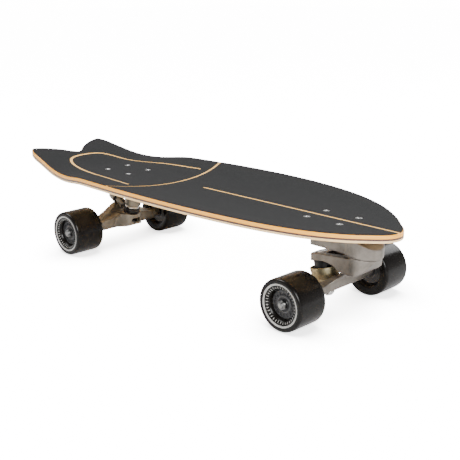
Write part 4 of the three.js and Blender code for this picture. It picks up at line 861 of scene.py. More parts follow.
def wheel_core():
    """Hub with a bearing seat at each end and ribs on its outer face."""
    seat = BEARING_RADIUS + BEARING_SEAT_GAP
    shelf = CORE_HALF - BEARING_WIDTH - GAP
    face = CORE_HALF - 1.4
    rim, top = CORE_RADIUS, CORE_HALF
    core = lathe([(9, -shelf), (seat, -shelf), (seat, -top), (rim, -top), (rim, top - 0.3), (rim - 0.9, top),
                  (rim - 1.6, top - 0.2), (rim - 2.1, face), (seat + 1.9, face), (seat + 1.5, top - 0.1),
                  (seat + 0.5, top), (seat, top - 0.4), (seat, shelf), (9, shelf)], 96)
    near, far = seat + 0.6, rim - 1.2
    outline = softened([(near, -0.55), (far, -0.8), (far, 0.8), (near, 0.55)], 0.3)
    turns = [Matrix.Rotation(math.tau * i / CORE_RIBS, 4, "Z") for i in range(CORE_RIBS)]
    return join(core, *[moved(raised(outline, face - 0.6, top - 0.25), turn) for turn in turns])


def bearing(outward):
    """Ball bearing with a recessed black seal between its two rings."""
    top = BEARING_WIDTH
    hole = AXLE_RADIUS + GAP
    profile = [(hole, 0.2), (hole + 0.2, 0), (6.3, 0), (6.3, 0.4), (9.6, 0.4), (9.6, 0), (10.7, 0),
               (BEARING_RADIUS, 0.3), (BEARING_RADIUS, top - 0.3), (10.7, top), (9.6, top), (9.4, top - 0.5),
               (6.6, top - 0.45), (6.3, top), (hole + 0.2, top), (hole, top - 0.2)]
    solid = lathe(profile, 64)
    for side in solid.data.polygons:
        radius = math.hypot(side.center.x, side.center.y)
        deep = 0.2 < side.center.z < 0.6 or top - 0.6 < side.center.z < top - 0.2
        side.material_index = 1 if deep and 6.5 < radius < 9.5 else 0
    return shifted(solid, 0, 0, CORE_HALF - top if outward else -CORE_HALF)


def make_wheel(end, side, x, track, left):
    at = wheel_matrix(x, track, left)
    name = f"{end}_{side}"
    node = f"{name}_wheel"
    piece(moved(copy_of(TYRE), at), f"{name}_urethane", TYRE_FINISH, f"{node}_tyre")
    piece(moved(copy_of(WHEEL_CORE), at), f"{name}_hub", CORE, f"{node}_core")
    for place, outward in (("outer", True), ("inner", False)):
        piece(moved(bearing(outward), at), f"{name}_{place}_race", BEARING, f"{node}_{place}_bearing")
    bottom = CORE_HALF + GAP
    flat_top = bottom + AXLE_NUT_HEIGHT - NUT_COLLAR
    nut = hex_nut(AXLE_NUT_RADIUS, bottom, flat_top, AXLE_RADIUS + THREAD_GAP, NUT_COLLAR)
    piece(moved(nut, at), f"{name}_lock_nut", DULL_STEEL, f"{name}_axle_nut")


def make_axle(end, x, track):
    tip = track / 2 - WHEEL_WIDTH / 2 + CORE_HALF + GAP + AXLE_NUT_HEIGHT + AXLE_TAIL
    rod = lathe(bar(AXLE_RADIUS, -tip, tip, 1.2), 40)
    piece(sideways(rod, x, WHEEL_RADIUS), f"{end}_axle_rod", DULL_STEEL, f"{end}_axle")


TYRE = tyre()
WHEEL_CORE = wheel_core()
FRONT_AXLE = (9.8, -75.6)
REAR_AXLE = (-17.2, -70.2)
FRONT_AXLE_X = FRONT_BOLTS_X + FRONT_AXLE[0]
REAR_AXLE_X = REAR_BOLTS_X + REAR_AXLE[0]
FRONT_TRACK = 230.6
REAR_TRACK = 236.0
for side, left in (("left", 1), ("right", -1)):
    make_wheel("front", side, FRONT_AXLE_X, FRONT_TRACK, left)
    make_wheel("rear", side, REAR_AXLE_X, REAR_TRACK, left)
make_axle("front", FRONT_AXLE_X, FRONT_TRACK)
make_axle("rear", REAR_AXLE_X, REAR_TRACK)
drop(TYRE)
drop(WHEEL_CORE)


# Trucks, each measured from the middle of its base plate's top
FLANGE_LENGTH = 78.0
FLANGE_WIDTH = 56.0
FLANGE_CORNER = 9.0
MOUTH_GAP = 3.0
PIVOT_BALL_RADIUS = 5.0
PIVOT_STEM_RADIUS = 6.2
CUP_OUTER = PIVOT_BALL_RADIUS + GAP + 2.1
CUP_TOP = PIVOT_BALL_RADIUS + GAP + 1.5
CUP_MOUTH = CUP_TOP - 11
CUP_WASHER_RADIUS = 12.5
CUP_WASHER_THICKNESS = 1.6
ROAD_BUSHING_RADIUS = 11.0
ROAD_WASHER_RADIUS = 11.5
KINGPIN_RADIUS = 4.75
KINGPIN_BORE = KINGPIN_RADIUS + GAP
KINGPIN_NUT_RADIUS = 8.0
KINGPIN_NUT_HEIGHT = 4.5
NUT_COLLAR_RADIUS = 6.4
PLATE_STEPS = 10
QUARTER_STEPS = 6
TUBE_END_RADIUS = 6.5
TUBE_SHOULDER = 3.0
WING_CLEARANCE = 10.0
KINGPIN_EDGE = 0.7
FRONT_NUT_POCKET = 5.6
REAR_NUT_POCKET = 5.4


def truck_piece(end, solid, name, finish, node):
    piece(shifted(solid, *TRUCKS[end]), f"{end}_{name}", finish, f"{end}_{node}")


def along(start, tilt, up):
    return (start[0] + up * math.sin(tilt), start[1] + up * math.cos(tilt))


def tilt_between(low, high):
    return math.atan2(high[0] - low[0], high[1] - low[1])


def tear_plan(big_x, big_radius, small_x, small_radius):
    """Plan outline round two circles on the centre line, with straight flanks."""
    flank = math.acos((small_radius - big_radius) / (big_x - small_x))
    return (circle_run(big_x, big_radius, -flank, flank, 48)
            + circle_run(small_x, small_radius, flank, math.tau - flank, 48))


def carved(side, plan, half_width):
    """A solid that takes an outline in side view and another in plan."""
    return overlap(across(side, half_width), raised(plan, -FAR, FAR))


def faced(points, back, front):
    """A front-view outline, in Y and Z, run along X."""
    return object_of(stacked([[(x, y, z) for y, z in points] for x in (back, front)]))


def both_flanks(side):
    """A line on the left of the centre, closed with its mirror image."""
    return side + [(-wide, up) for wide, up in reversed(side)]


def rounded_plate(length, width, corner):
    x, y = length / 2 - corner, width / 2 - corner
    points = []
    for centre_x, centre_y, start in ((x, y, 0), (-x, y, 1), (-x, -y, 2), (x, -y, 3)):
        for k in range(PLATE_STEPS + 1):
            turn = math.pi / 2 * (start + k / PLATE_STEPS)
            points.append((centre_x + corner * math.cos(turn), centre_y + corner * math.sin(turn)))
    return points


def share_line(start, ahead_unit, up_unit, shares):
    """Points given in shares of a length ahead and of a rise, from a start in X and Z."""
    return [(start[0] + ahead_unit * ahead, start[1] + up_unit * up) for ahead, up in shares]


def quarter_turn(radius, height, centre_z, steps):
    """A quarter of an oval from its rim towards its tip on the axis, which is left out."""
    turns = [math.pi / 2 * k / QUARTER_STEPS for k in steps]
    return [(radius * math.cos(turn), centre_z + height * math.sin(turn)) for turn in turns]


def cup_bore(reach):
    wide = CUP_OUTER + MOUTH_GAP
    return lathe([(0, CUP_MOUTH - reach), (wide, CUP_MOUTH - reach), (CUP_OUTER + GAP, CUP_MOUTH),
                  (CUP_OUTER + GAP, CUP_TOP + GAP), (0, CUP_TOP + GAP)], 40)


def pivot_stem(length):
    """The hanger's pivot, from its shoulder up to the ball in the cup."""
    ball = PIVOT_BALL_RADIUS
    return lathe([(0, -length), (PIVOT_STEM_RADIUS, -length), (PIVOT_STEM_RADIUS, CUP_MOUTH - 2 * GAP),
                  (ball, CUP_MOUTH - GAP), (ball, 0), *quarter_turn(ball, ball, 0, range(1, QUARTER_STEPS)),
                  (0, ball)], 40)


def pivot_cup(end, place):
    floor = PIVOT_BALL_RADIUS + GAP
    profile = softened([(0, floor), (floor, floor), (floor, CUP_MOUTH), (CUP_OUTER, CUP_MOUTH),
                        (CUP_OUTER, CUP_TOP), (0, CUP_TOP)], 0.6, closed=False)
    truck_piece(end, place(lathe(profile, 48)), "pivot_seat", PLASTIC, "pivot_cup")


def stack_heights(above, bushing, below, ring_seat, road_bushing):
    """Heights of what sits on a kingpin, measured up from the seat it hangs from."""
    rows = (("bushing", above, bushing), ("ring", below, ring_seat), ("road", 0, road_bushing),
            ("washer", 0, CUP_WASHER_THICKNESS), ("nut", 0, KINGPIN_NUT_HEIGHT))
    heights = {}
    level = 0
    for name, space, thickness in rows:
        heights[f"{name}_top"] = level - GAP - space
        level = heights[f"{name}_bottom"] = heights[f"{name}_top"] - thickness
    heights["end"] = level - BOLT_TAIL
    return heights


def road_parts(end, stack, place, washer_finish):
    """What hangs under the hanger's ring: the lower bushing, its washer and the kingpin's nut."""
    hole, low, high = KINGPIN_BORE, stack["road_bottom"], stack["road_top"]
    foot = ROAD_BUSHING_RADIUS - CUP_WASHER_THICKNESS
    bushing = softened([(hole, low), (foot, low), (ROAD_BUSHING_RADIUS, high), (hole, high)], 1.0)
    truck_piece(end, place(lathe(bushing, 64)), "road_cushion", BUSHING, "road_bushing")
    washer = softened(ring(hole, ROAD_WASHER_RADIUS, stack["washer_bottom"], stack["washer_top"]), 0.4)
    truck_piece(end, place(lathe(washer, 64)), "road_disc", washer_finish, "road_washer")
    low = stack["nut_bottom"]
    nut = hex_nut(KINGPIN_NUT_RADIUS, low + 1.0, stack["nut_top"], hole)
    collar = lathe(softened(ring(hole, NUT_COLLAR_RADIUS, low, low + 1.1), 0.4), 48)
    truck_piece(end, place(join(nut, collar)), "lock_nut", STEEL, "kingpin_nut")


def axle_tube(radius, track, at):
    """The round bar that holds the axle, thinner where it reaches into the wheels."""
    centre = track / 2 - WHEEL_WIDTH / 2
    end = centre - CORE_HALF - 2 * GAP
    shoulder = centre - WHEEL_WIDTH / 2 - 2 * GAP
    full = shoulder - TUBE_SHOULDER
    half = [(radius, full), (TUBE_END_RADIUS, shoulder), (TUBE_END_RADIUS, end), (0, end)]
    return sideways(lathe([(wide, -along) for wide, along in reversed(half)] + half, 64), *at)


def axle_bore(track, at):
    return sideways(plain(AXLE_RADIUS + GAP, -track, track, 32), *at)


def flange():
    return raised(rounded_plate(FLANGE_LENGTH, FLANGE_WIDTH, FLANGE_CORNER), -FLANGE_THICKNESS, 0)


def nut_pockets(radius, bottom):
    return [shifted(plain(radius, bottom, -FLANGE_THICKNESS), x, y) for x, y in bolt_spots(0)]


def shank_holes():
    return [shifted(plain(BOLT_RADIUS + GAP, -40, 20, 24), x, y) for x, y in bolt_spots(0)]


# Front truck
PIVOT_AHEAD = 49.5
PIVOT_DROP = 23.1
PIVOT_TILT = math.radians(10)
PIVOT_BOLT_RADIUS = 4.0
PIVOT_HEAD_RADIUS = 13.2
PIVOT_HEAD_HEIGHT = 6.8
DRUM_RADIUS = 27.6
DRUM_RISE = 21.5
HOUSING_HALF_WIDTH = 26.4
HOUSING_TAIL = 17.5
HOUSING_CORNER = 4.0
HOUSING_DROP = 21.0
HUB_RADIUS = 11.0
HUB_HEIGHT = 10.0
HUB_FLOOR = 2.8
RECESS_RADIUS = 14.5
SPRING_DROP = 14.8
PLUNGER_RADIUS = 4.4
PLUNGER_LENGTH = 13.0
SPRING_RADIUS = 3.6
SPRING_WIRE = 1.6
SPRING_TURNS = 7
SPRING_PITCH = 3.2
SPRING_STEPS = 28
SPRING_SIDES = 12
ARM_REACH = 63.4
ARM_DEPTH = 27.0
ARM_DRUM_RADIUS = 25.4
ARM_TIP_RADIUS = 17.0
ARM_TIP_DEPTH = 10.0
ARM_PAD_DEPTH = 8.5
ARM_POCKET_LENGTH = 20.0
ARM_POCKET_HALF_WIDTH = 11.0
ARM_POCKET_CORNER = 5.5
ARM_POCKET_FLOOR = 0.55
THRUST_OUTER = 19.0
THRUST_THICKNESS = 2.0
JOINT_LINE = 0.8
FRONT_KINGPIN_TILT = math.radians(13)
KINGPIN_HEAD_HEIGHT = 4.0
KINGPIN_HEAD_ROOM = 8.6
FRONT_BUSHING_RADIUS = 13.5
BOWL_RADIUS = 20.0
BOWL_DEPTH = 22.0
BOWL_WALL = 1.6
BOWL_STANDOFF = 10.0
BOWL_FOOT_RADIUS = 10.0
BOWL_STEPS = 12
SEAT_RADIUS = 14.0
STEM_LENGTH = 32.0
FRONT_TUBE_RADIUS = 7.5
DELTA_HALF_WIDTH = FRONT_TRACK / 2 - WHEEL_WIDTH - WING_CLEARANCE
FRONT_SEAT = (PIVOT_AHEAD - ARM_REACH, -45.6)
FRONT_PIVOT = (PIVOT_AHEAD + 4.0, -35.6)
FRONT_STACK = stack_heights(0, BOWL_STANDOFF + BOWL_DEPTH - BOWL_WALL - 2 * GAP, BOWL_WALL + GAP, 5.5, 4.5)
FRONT_LEAN = tilt_between(along(FRONT_SEAT, -FRONT_KINGPIN_TILT, FRONT_STACK["ring_top"] * 0.75), FRONT_PIVOT)
ARM_PAD_RADIUS = THRUST_OUTER + THRUST_THICKNESS
KINGPIN_HOLE = KINGPIN_RADIUS + MOUTH_GAP
SPRING_LENGTH = SPRING_TURNS * SPRING_PITCH + 2 * SPRING_WIRE
PLUNGER_TIP = (PIVOT_AHEAD + (PIVOT_DROP - SPRING_DROP) * math.tan(PIVOT_TILT)
               - HUB_RADIUS / math.cos(PIVOT_TILT) - 3 * GAP)
PLUNGER_END = PLUNGER_TIP - PLUNGER_LENGTH
SPRING_END = PLUNGER_END - GAP - SPRING_LENGTH

# Outlines in shares of the drum's radius, of the arm's reach and depth, and of the hanger's run and rise
DRUM_SIDE_SHARES = [(1, -0.5), (0.36, -0.12), (0.2, 0)]
ARM_SIDE_SHARES = [
    (-0.4, 0.1), (-0.385, 0.29), (-0.27, 0.7), (-0.1, 0.99), (0.29, 1), (0.42, 0.84), (0.56, 0.75),
    (0.79, 0.72), (1.28, 0.985), (1.27, 0.6), (0.875, 0.385), (0.6, 0.3), (0.33, 0.235), (0.06, 0.18),
    (-0.06, 0), (-0.4, -0.1),
]
DELTA_SIDE_SHARES = [
    (-0.12, -0.18), (0.06, -0.19), (0.17, -0.08), (0.2, 0.2), (0.36, 0.38), (0.52, 0.54), (0.44, 0.6),
    (0.3, 0.52), (0.1, 0.36), (-0.1, 0.2), (-0.17, 0),
]
DELTA_PLAN_SHARES = [(-0.3, 1), (0.12, 1), (0.5, 0.15), (0.75, 0.12)]
DELTA_FACE_SHARES = [(0.13, 0.8), (0.2, 0.42), (0.35, 0.28), (0.6, 0.17), (1, 0.15), (1, -0.19)]


at_pivot = carrier(PIVOT_AHEAD, -PIVOT_DROP, PIVOT_TILT)
on_front_kingpin = carrier(*FRONT_SEAT, -FRONT_KINGPIN_TILT)
on_front_lean = carrier(*FRONT_PIVOT, FRONT_LEAN)


def on_spring_line(obj, x):
    return carrier(x, -SPRING_DROP, math.pi / 2)(obj)


def joint_at(x):
    """Height of the tilted joint between base and arm."""
    return -PIVOT_DROP - (x - PIVOT_AHEAD) * math.tan(PIVOT_TILT)


def front_base():
    nose = PIVOT_AHEAD + DRUM_RADIUS
    step_x = PIVOT_AHEAD - math.sqrt(DRUM_RADIUS ** 2 - HOUSING_HALF_WIDTH ** 2)
    side = [(-HOUSING_TAIL, 0), (-HOUSING_TAIL, -HOUSING_DROP), (step_x, joint_at(step_x)),
            (nose, joint_at(nose)), *share_line((PIVOT_AHEAD, 0), DRUM_RADIUS, DRUM_RADIUS, DRUM_SIDE_SHARES)]
    length = PIVOT_AHEAD + HOUSING_TAIL + HOUSING_CORNER
    box = raised(rounded_plate(length, 2 * HOUSING_HALF_WIDTH, HOUSING_CORNER), -FRONT_BASE_TOP, 10)
    drum = shifted(plain(DRUM_RADIUS, -FRONT_BASE_TOP - 1, 11, 96), PIVOT_AHEAD)
    plan = join(shifted(box, length / 2 - HOUSING_TAIL), drum)
    body = join(flange(), overlap(across(softened(side, 1.5), DRUM_RADIUS + 2), plan))
    hub_top = HUB_HEIGHT + GAP
    pad_room = at_pivot(plain(ARM_PAD_RADIUS + 2 * GAP, -ARM_PAD_DEPTH, GAP / 2, 64))
    hub_bore = at_pivot(plain(HUB_RADIUS + GAP, -ARM_PAD_DEPTH - 1, hub_top))
    bolt_bore = at_pivot(plain(PIVOT_BOLT_RADIUS + GAP, 0, 2 * DRUM_RISE))
    recess = at_pivot(plain(RECESS_RADIUS, hub_top + HUB_FLOOR, 2 * DRUM_RISE + 1))
    spring_bore = on_spring_line(plain(PLUNGER_RADIUS + GAP, 0, PIVOT_AHEAD - SPRING_END), SPRING_END - GAP)
    pockets = nut_pockets(FRONT_NUT_POCKET, -PIVOT_DROP - ARM_PAD_DEPTH)
    body = cut(body, *shank_holes(), *pockets, pad_room, hub_bore, bolt_bore, recess, spring_bore)
    truck_piece("front", cast(body, 4), "base_casting", GREY_CAST, "base_plate")


def front_arm():
    side = share_line((PIVOT_AHEAD, -PIVOT_DROP), -ARM_REACH, -ARM_DEPTH, ARM_SIDE_SHARES)
    plan = tear_plan(PIVOT_AHEAD, ARM_DRUM_RADIUS, PIVOT_AHEAD - ARM_REACH, ARM_TIP_RADIUS)
    body = carved(softened(side, 7.0), plan, ARM_DRUM_RADIUS + 2)
    pad = at_pivot(plain(ARM_PAD_RADIUS, -ARM_PAD_DEPTH, -JOINT_LINE, 64))
    hub = at_pivot(plain(HUB_RADIUS, -ARM_PAD_DEPTH, HUB_HEIGHT))
    above = at_pivot(plain(DRUM_RADIUS + 2, -JOINT_LINE, DRUM_RISE))
    groove = at_pivot(lathe(ring(HUB_RADIUS, THRUST_OUTER + GAP, -THRUST_THICKNESS - 2 * GAP, 2), 64))
    bolt_bore = at_pivot(plain(PIVOT_BOLT_RADIUS + GAP, -JOINT_LINE - GAP, HUB_HEIGHT + 2))
    plate = rounded_plate(2 * ARM_POCKET_LENGTH, 2 * ARM_POCKET_HALF_WIDTH, ARM_POCKET_CORNER)
    pocket = shifted(raised(plate, -PIVOT_DROP - ARM_DEPTH * ARM_POCKET_FLOOR, 0),
                     PIVOT_AHEAD - ARM_PAD_RADIUS - ARM_POCKET_LENGTH / 2)
    arm = join(cut(join(cut(body, above, pocket), pad), groove), hub)
    kingpin_bore = on_front_kingpin(plain(KINGPIN_BORE, -2, ARM_DEPTH, 32))
    head_recess = on_front_kingpin(plain(KINGPIN_HEAD_ROOM, ARM_TIP_DEPTH - KINGPIN_HEAD_HEIGHT, ARM_DEPTH))
    arm = cut(arm, bolt_bore, kingpin_bore, head_recess, on_front_lean(cup_bore(ARM_REACH / 2)))
    truck_piece("front", cast(arm, 5), "arm_casting", GREY_CAST, "swing_arm")


def bowl_curve(inset):
    curve = []
    for i in range(BOWL_STEPS + 1):
        down = 1 - i / BOWL_STEPS
        radius = BOWL_FOOT_RADIUS + (BOWL_RADIUS - BOWL_FOOT_RADIUS) * math.sqrt(1 - down * down)
        curve.append((radius - inset, -BOWL_STANDOFF - BOWL_DEPTH * down))
    return curve


def front_hanger():
    ring_top, ring_bottom, end = (FRONT_STACK[level] for level in ("ring_top", "ring_bottom", "end"))
    x, z = FRONT_AXLE
    run_x, run_z = FRONT_PIVOT[0] - x, FRONT_PIVOT[1] - z
    side = share_line(FRONT_AXLE, run_x, run_z, DELTA_SIDE_SHARES)
    half_plan = share_line((x, 0), run_x, DELTA_HALF_WIDTH, DELTA_PLAN_SHARES)
    plan = half_plan + [(ahead, -wide) for ahead, wide in reversed(half_plan)]
    face = both_flanks(share_line((0, z), DELTA_HALF_WIDTH, run_z, DELTA_FACE_SHARES))
    delta = overlap(carved(softened(side, 4.0), softened(plan, 8.0), DELTA_HALF_WIDTH + 2),
                    faced(softened(face, 5.0), x - run_x, FRONT_PIVOT[0]))
    seat = on_front_kingpin(plain(SEAT_RADIUS, ring_bottom, ring_top, 64))
    stem = on_front_lean(pivot_stem(STEM_LENGTH))
    room = [(0, ring_top)] + bowl_curve(-2 * GAP) + [(BOWL_RADIUS + 2 * GAP, 2), (0, 2)]
    bowl_room = on_front_kingpin(lathe(room, 64))
    road_room = on_front_kingpin(plain(ROAD_WASHER_RADIUS + 4 * GAP, 2 * end, ring_bottom))
    kingpin_room = on_front_kingpin(plain(KINGPIN_HOLE, 2 * end, 0))
    casting = cut(join(axle_tube(FRONT_TUBE_RADIUS, FRONT_TRACK, FRONT_AXLE), delta, seat), road_room)
    casting = cut(join(casting, stem), bowl_room, kingpin_room, axle_bore(FRONT_TRACK, FRONT_AXLE))
    truck_piece("front", cast(casting, 5), "hanger_casting", GREY_CAST, "hanger")


def pivot_parts():
    """The bolt, the thrust ring and the plunger of the swing arm's pivot."""
    seat = HUB_HEIGHT + 2 * GAP + HUB_FLOOR
    bolt = join(plain(PIVOT_BOLT_RADIUS, -JOINT_LINE, seat + GAP),
                hex_nut(PIVOT_HEAD_RADIUS, seat, seat + PIVOT_HEAD_HEIGHT, 0))
    truck_piece("front", at_pivot(bolt), "pivot_screw", ZINC, "pivot_bolt")
    thrust = lathe(softened(ring(HUB_RADIUS + GAP, THRUST_OUTER, -THRUST_THICKNESS - GAP, -GAP), 0.3), 72)
    truck_piece("front", at_pivot(thrust), "thrust_washer", STEEL, "thrust_ring")
    dome = PLUNGER_RADIUS / 3
    tip = quarter_turn(PLUNGER_RADIUS, dome, PLUNGER_LENGTH - dome, range(QUARTER_STEPS))
    plunger = lathe([(0, 0), (PLUNGER_RADIUS - 0.4, 0), (PLUNGER_RADIUS, 0.4), *tip, (0, PLUNGER_LENGTH)], 48)
    truck_piece("front", on_spring_line(plunger, PLUNGER_END), "plunger", STEEL, "spring_plunger")


def bowl():
    """The deep cup under the arm's tip: its outer wall, its rolled lip and its inner wall."""
    lip, foot, wall = -BOWL_STANDOFF, -BOWL_STANDOFF - BOWL_DEPTH, BOWL_WALL
    inner = [point for point in bowl_curve(wall) if point[1] > foot + wall + 0.4][::-1]
    shell = [(KINGPIN_HOLE, foot), (BOWL_FOOT_RADIUS, foot), *bowl_curve(0)[1:-1], (BOWL_RADIUS, lip - 0.5),
             (BOWL_RADIUS - 0.5, lip), (BOWL_RADIUS - wall + 0.4, lip), (BOWL_RADIUS - wall, lip - 0.4),
             *inner[1:], (BOWL_FOOT_RADIUS, foot + wall), (KINGPIN_HOLE, foot + wall)]
    truck_piece("front", on_front_kingpin(lathe(shell, 96)), "bowl", ZINC, "bowl_cup")


def kingpin_parts():
    tip = ARM_TIP_DEPTH - KINGPIN_HEAD_HEIGHT + GAP
    head = hex_nut(KINGPIN_NUT_RADIUS, tip, tip + KINGPIN_HEAD_HEIGHT, 0)
    kingpin = join(lathe(bar(KINGPIN_RADIUS, FRONT_STACK["end"], tip + GAP, KINGPIN_EDGE), 48), head)
    truck_piece("front", on_front_kingpin(kingpin), "kingpin_bolt", STEEL, "kingpin")
    bowl()
    low, high = FRONT_STACK["bushing_bottom"], FRONT_STACK["bushing_top"]
    belly = FRONT_BUSHING_RADIUS
    cushion = softened([(KINGPIN_BORE, low), (BOWL_FOOT_RADIUS - BOWL_WALL - 2 * GAP, low),
                        (belly, low + BOWL_DEPTH / 2), (belly, high), (KINGPIN_BORE, high)], 1.4)
    truck_piece("front", on_front_kingpin(lathe(cushion, 72)), "board_cushion", BUSHING, "board_bushing")
    road_parts("front", FRONT_STACK, on_front_kingpin, ZINC)
    pivot_cup("front", on_front_lean)


def return_spring():
    """One unbroken wire with its two ends straight for one wire's thickness."""
    steps = SPRING_TURNS * SPRING_STEPS
    rise = SPRING_TURNS * SPRING_PITCH
    path = [(0.0, 0.0)]
    path += [(math.tau * i / SPRING_STEPS, SPRING_WIRE + rise * i / steps) for i in range(steps + 1)]
    path.append((path[-1][0], path[-1][1] + SPRING_WIRE))
    outwards = [Vector((math.cos(turn), math.sin(turn), 0)) for turn, height in path]
    spots = [Vector((SPRING_RADIUS * math.cos(turn), SPRING_RADIUS * math.sin(turn), height))
             for turn, height in path]
    around = [math.tau * k / SPRING_SIDES for k in range(SPRING_SIDES)]
    rings = []
    for i, (spot, outward) in enumerate(zip(spots, outwards)):
        ahead = (spots[min(i + 1, len(spots) - 1)] - spots[max(i - 1, 0)]).normalized()
        beside = ahead.cross(outward).normalized()
        rings.append([spot + (outward * math.cos(turn) + beside * math.sin(turn)) * (SPRING_WIRE / 2)
                      for turn in around])
    coil = on_spring_line(object_of(stacked(rings)), SPRING_END)
    truck_piece("front", coil, "coil", SPRING, "return_spring")


front_base()
front_arm()
front_hanger()
pivot_parts()
kingpin_parts()
return_spring()


# Rear truck
REAR_KINGPIN_TILT = math.radians(16)
REAR_SEAT = (9.0, -37.7)
REAR_PIVOT = (-33.5, -31.2)
REAR_BOSS_RADIUS = 15.0
REAR_BOSS_HEIGHT = 30.0
REAR_PIVOT_BOSS = 10.5
REAR_STUD_DEPTH = 18.0
REAR_DEPTH = 70.0
REAR_TUBE_RADIUS = 9.6
REAR_STEM_LENGTH = 24.0
REAR_BUSHING_RADIUS = 12.8
REAR_WING_HALF_WIDTH = REAR_TRACK / 2 - WHEEL_WIDTH - WING_CLEARANCE
CUP_WASHER_LIP = 1.6
RISER_EDGE = 0.8
REAR_STACK = stack_heights(CUP_WASHER_THICKNESS + GAP, 11.0, 0, 7.0, 7.0)
REAR_RING_MIDDLE = (REAR_STACK["ring_top"] + REAR_STACK["ring_bottom"]) / 2
REAR_LEAN = tilt_between(along(REAR_SEAT, REAR_KINGPIN_TILT, REAR_RING_MIDDLE), REAR_PIVOT)
on_rear_kingpin = carrier(*REAR_SEAT, REAR_KINGPIN_TILT)
on_rear_lean = carrier(*REAR_PIVOT, REAR_LEAN)


def stadium(radius, reach):
    """A slot's outline, longer across the truck."""
    end = [(x, reach + y) for x, y in circle_run(0, radius, 0, math.pi, 24)]
    return end + [(-x, -y) for x, y in end]


PIVOT_WEB_SHARES = [(-0.95, 0.9), (0, 0), (0.6, 1)]
BOSS_WEB_SHARES = [(-0.95, 0.9), (-0.5, 0.35), (0.9, 0.9)]


def pivot_boss():
    under = -FLANGE_THICKNESS / 2
    boss = on_rear_lean(plain(REAR_PIVOT_BOSS, CUP_MOUTH, CUP_TOP + 2))
    web = share_line(REAR_PIVOT, REAR_PIVOT_BOSS, REAR_PIVOT_BOSS, PIVOT_WEB_SHARES)
    side = [(2 - FLANGE_LENGTH / 2, under), *web, (REAR_PIVOT[0] + 2 * REAR_PIVOT_BOSS, under)]
    below = on_rear_lean(plain(2 * REAR_PIVOT_BOSS, -REAR_DEPTH, CUP_MOUTH))
    return join(boss, cut(across(side, REAR_PIVOT_BOSS - 2), below))


def kingpin_boss():
    under = -FLANGE_THICKNESS / 2
    boss = on_rear_kingpin(lathe([(0, 0), (REAR_BOSS_RADIUS - 2, 0), (REAR_BOSS_RADIUS, REAR_BOSS_HEIGHT / 2),
                                  (REAR_BOSS_RADIUS, REAR_BOSS_HEIGHT), (0, REAR_BOSS_HEIGHT)], 64))
    web = share_line(REAR_SEAT, REAR_BOSS_RADIUS, REAR_BOSS_HEIGHT, BOSS_WEB_SHARES)
    side = [(REAR_SEAT[0] - REAR_BOSS_RADIUS, under), *web, (FLANGE_LENGTH / 2 - 2, under)]
    below = on_rear_kingpin(plain(2 * REAR_BOSS_RADIUS, -2 * REAR_BOSS_HEIGHT, 0))
    return cut(join(boss, across(side, REAR_BOSS_RADIUS - 2 * GAP)), below)


def rear_base():
    casting = join(flange(), pivot_boss(), kingpin_boss())
    above = raised(rounded_plate(2 * FLANGE_LENGTH, 2 * FLANGE_WIDTH, FLANGE_CORNER), 0, FLANGE_LENGTH)
    stud = on_rear_kingpin(plain(KINGPIN_BORE, -2, REAR_STUD_DEPTH + GAP, 32))
    casting = cut(casting, above, *shank_holes(), *nut_pockets(REAR_NUT_POCKET, -REAR_DEPTH),
                  on_rear_lean(cup_bore(REAR_PIVOT_BOSS)), stud)
    truck_piece("rear", cast(casting, 5), "base_casting", BROWN_CAST, "base_plate")


# The hanger, in shares of the rise from axle to pivot, with widths in shares of its half width
WEB_SIDE_SHARES = [
    (-0.2, 0), (-0.42, 0.45), (-0.4, 0.72), (-0.28, 0.83), (-0.12, 0.72), (-0.02, 0.5), (0.15, 0.15),
]
WEB_FACE_SHARES = [(0.1, 0.9), (0.26, 0.69), (0.52, 0.46), (0.78, 0.32), (1, 0.18), (1, -0.1)]
WING_SIDE_SHARES = [
    (-0.24, -0.08), (0, -0.23), (0.24, -0.1), (0.34, 0.25), (0.52, 0.36), (0.52, 0.5), (0.2, 0.5),
    (-0.24, 0.3),
]
WING_FACE_SHARES = [(0.24, 0.5), (0.52, 0.35), (0.93, 0.2), (0.93, -0.24)]
NOSE_SIDE_SHARES = [
    (-0.1, -0.16), (0.3, -0.15), (0.7, -0.1), (0.9, -0.02), (0.93, 0.3), (0.86, 0.46), (0.2, 0.47),
]
NOSE_FACE_SHARES = [(0.3, 0.5), (0.5, 0.36), (0.5, -0.2)]
NOSE_PLAN = (REAR_SEAT[0] - 9, REAR_BOSS_RADIUS + 4, REAR_AXLE[0] - 12, 34)
WINDOW_OUTLINE = [(-8.5, -60.5), (8.5, -60.5), (8.5, -68), (-8.5, -68)]
WINDOW_CORNER = 3.5
WINDOW_SPAN = (6, 40)


def rear_blade(side_shares, face_shares):
    x, z = REAR_AXLE
    rise = REAR_PIVOT[1] - z
    side = share_line(REAR_AXLE, rise, rise, side_shares)
    face = both_flanks(share_line((0, z), REAR_WING_HALF_WIDTH, rise, face_shares))
    return overlap(across(softened(side, 3.0), REAR_WING_HALF_WIDTH + 2),
                   faced(softened(face, 6.0), x - rise, x + rise))


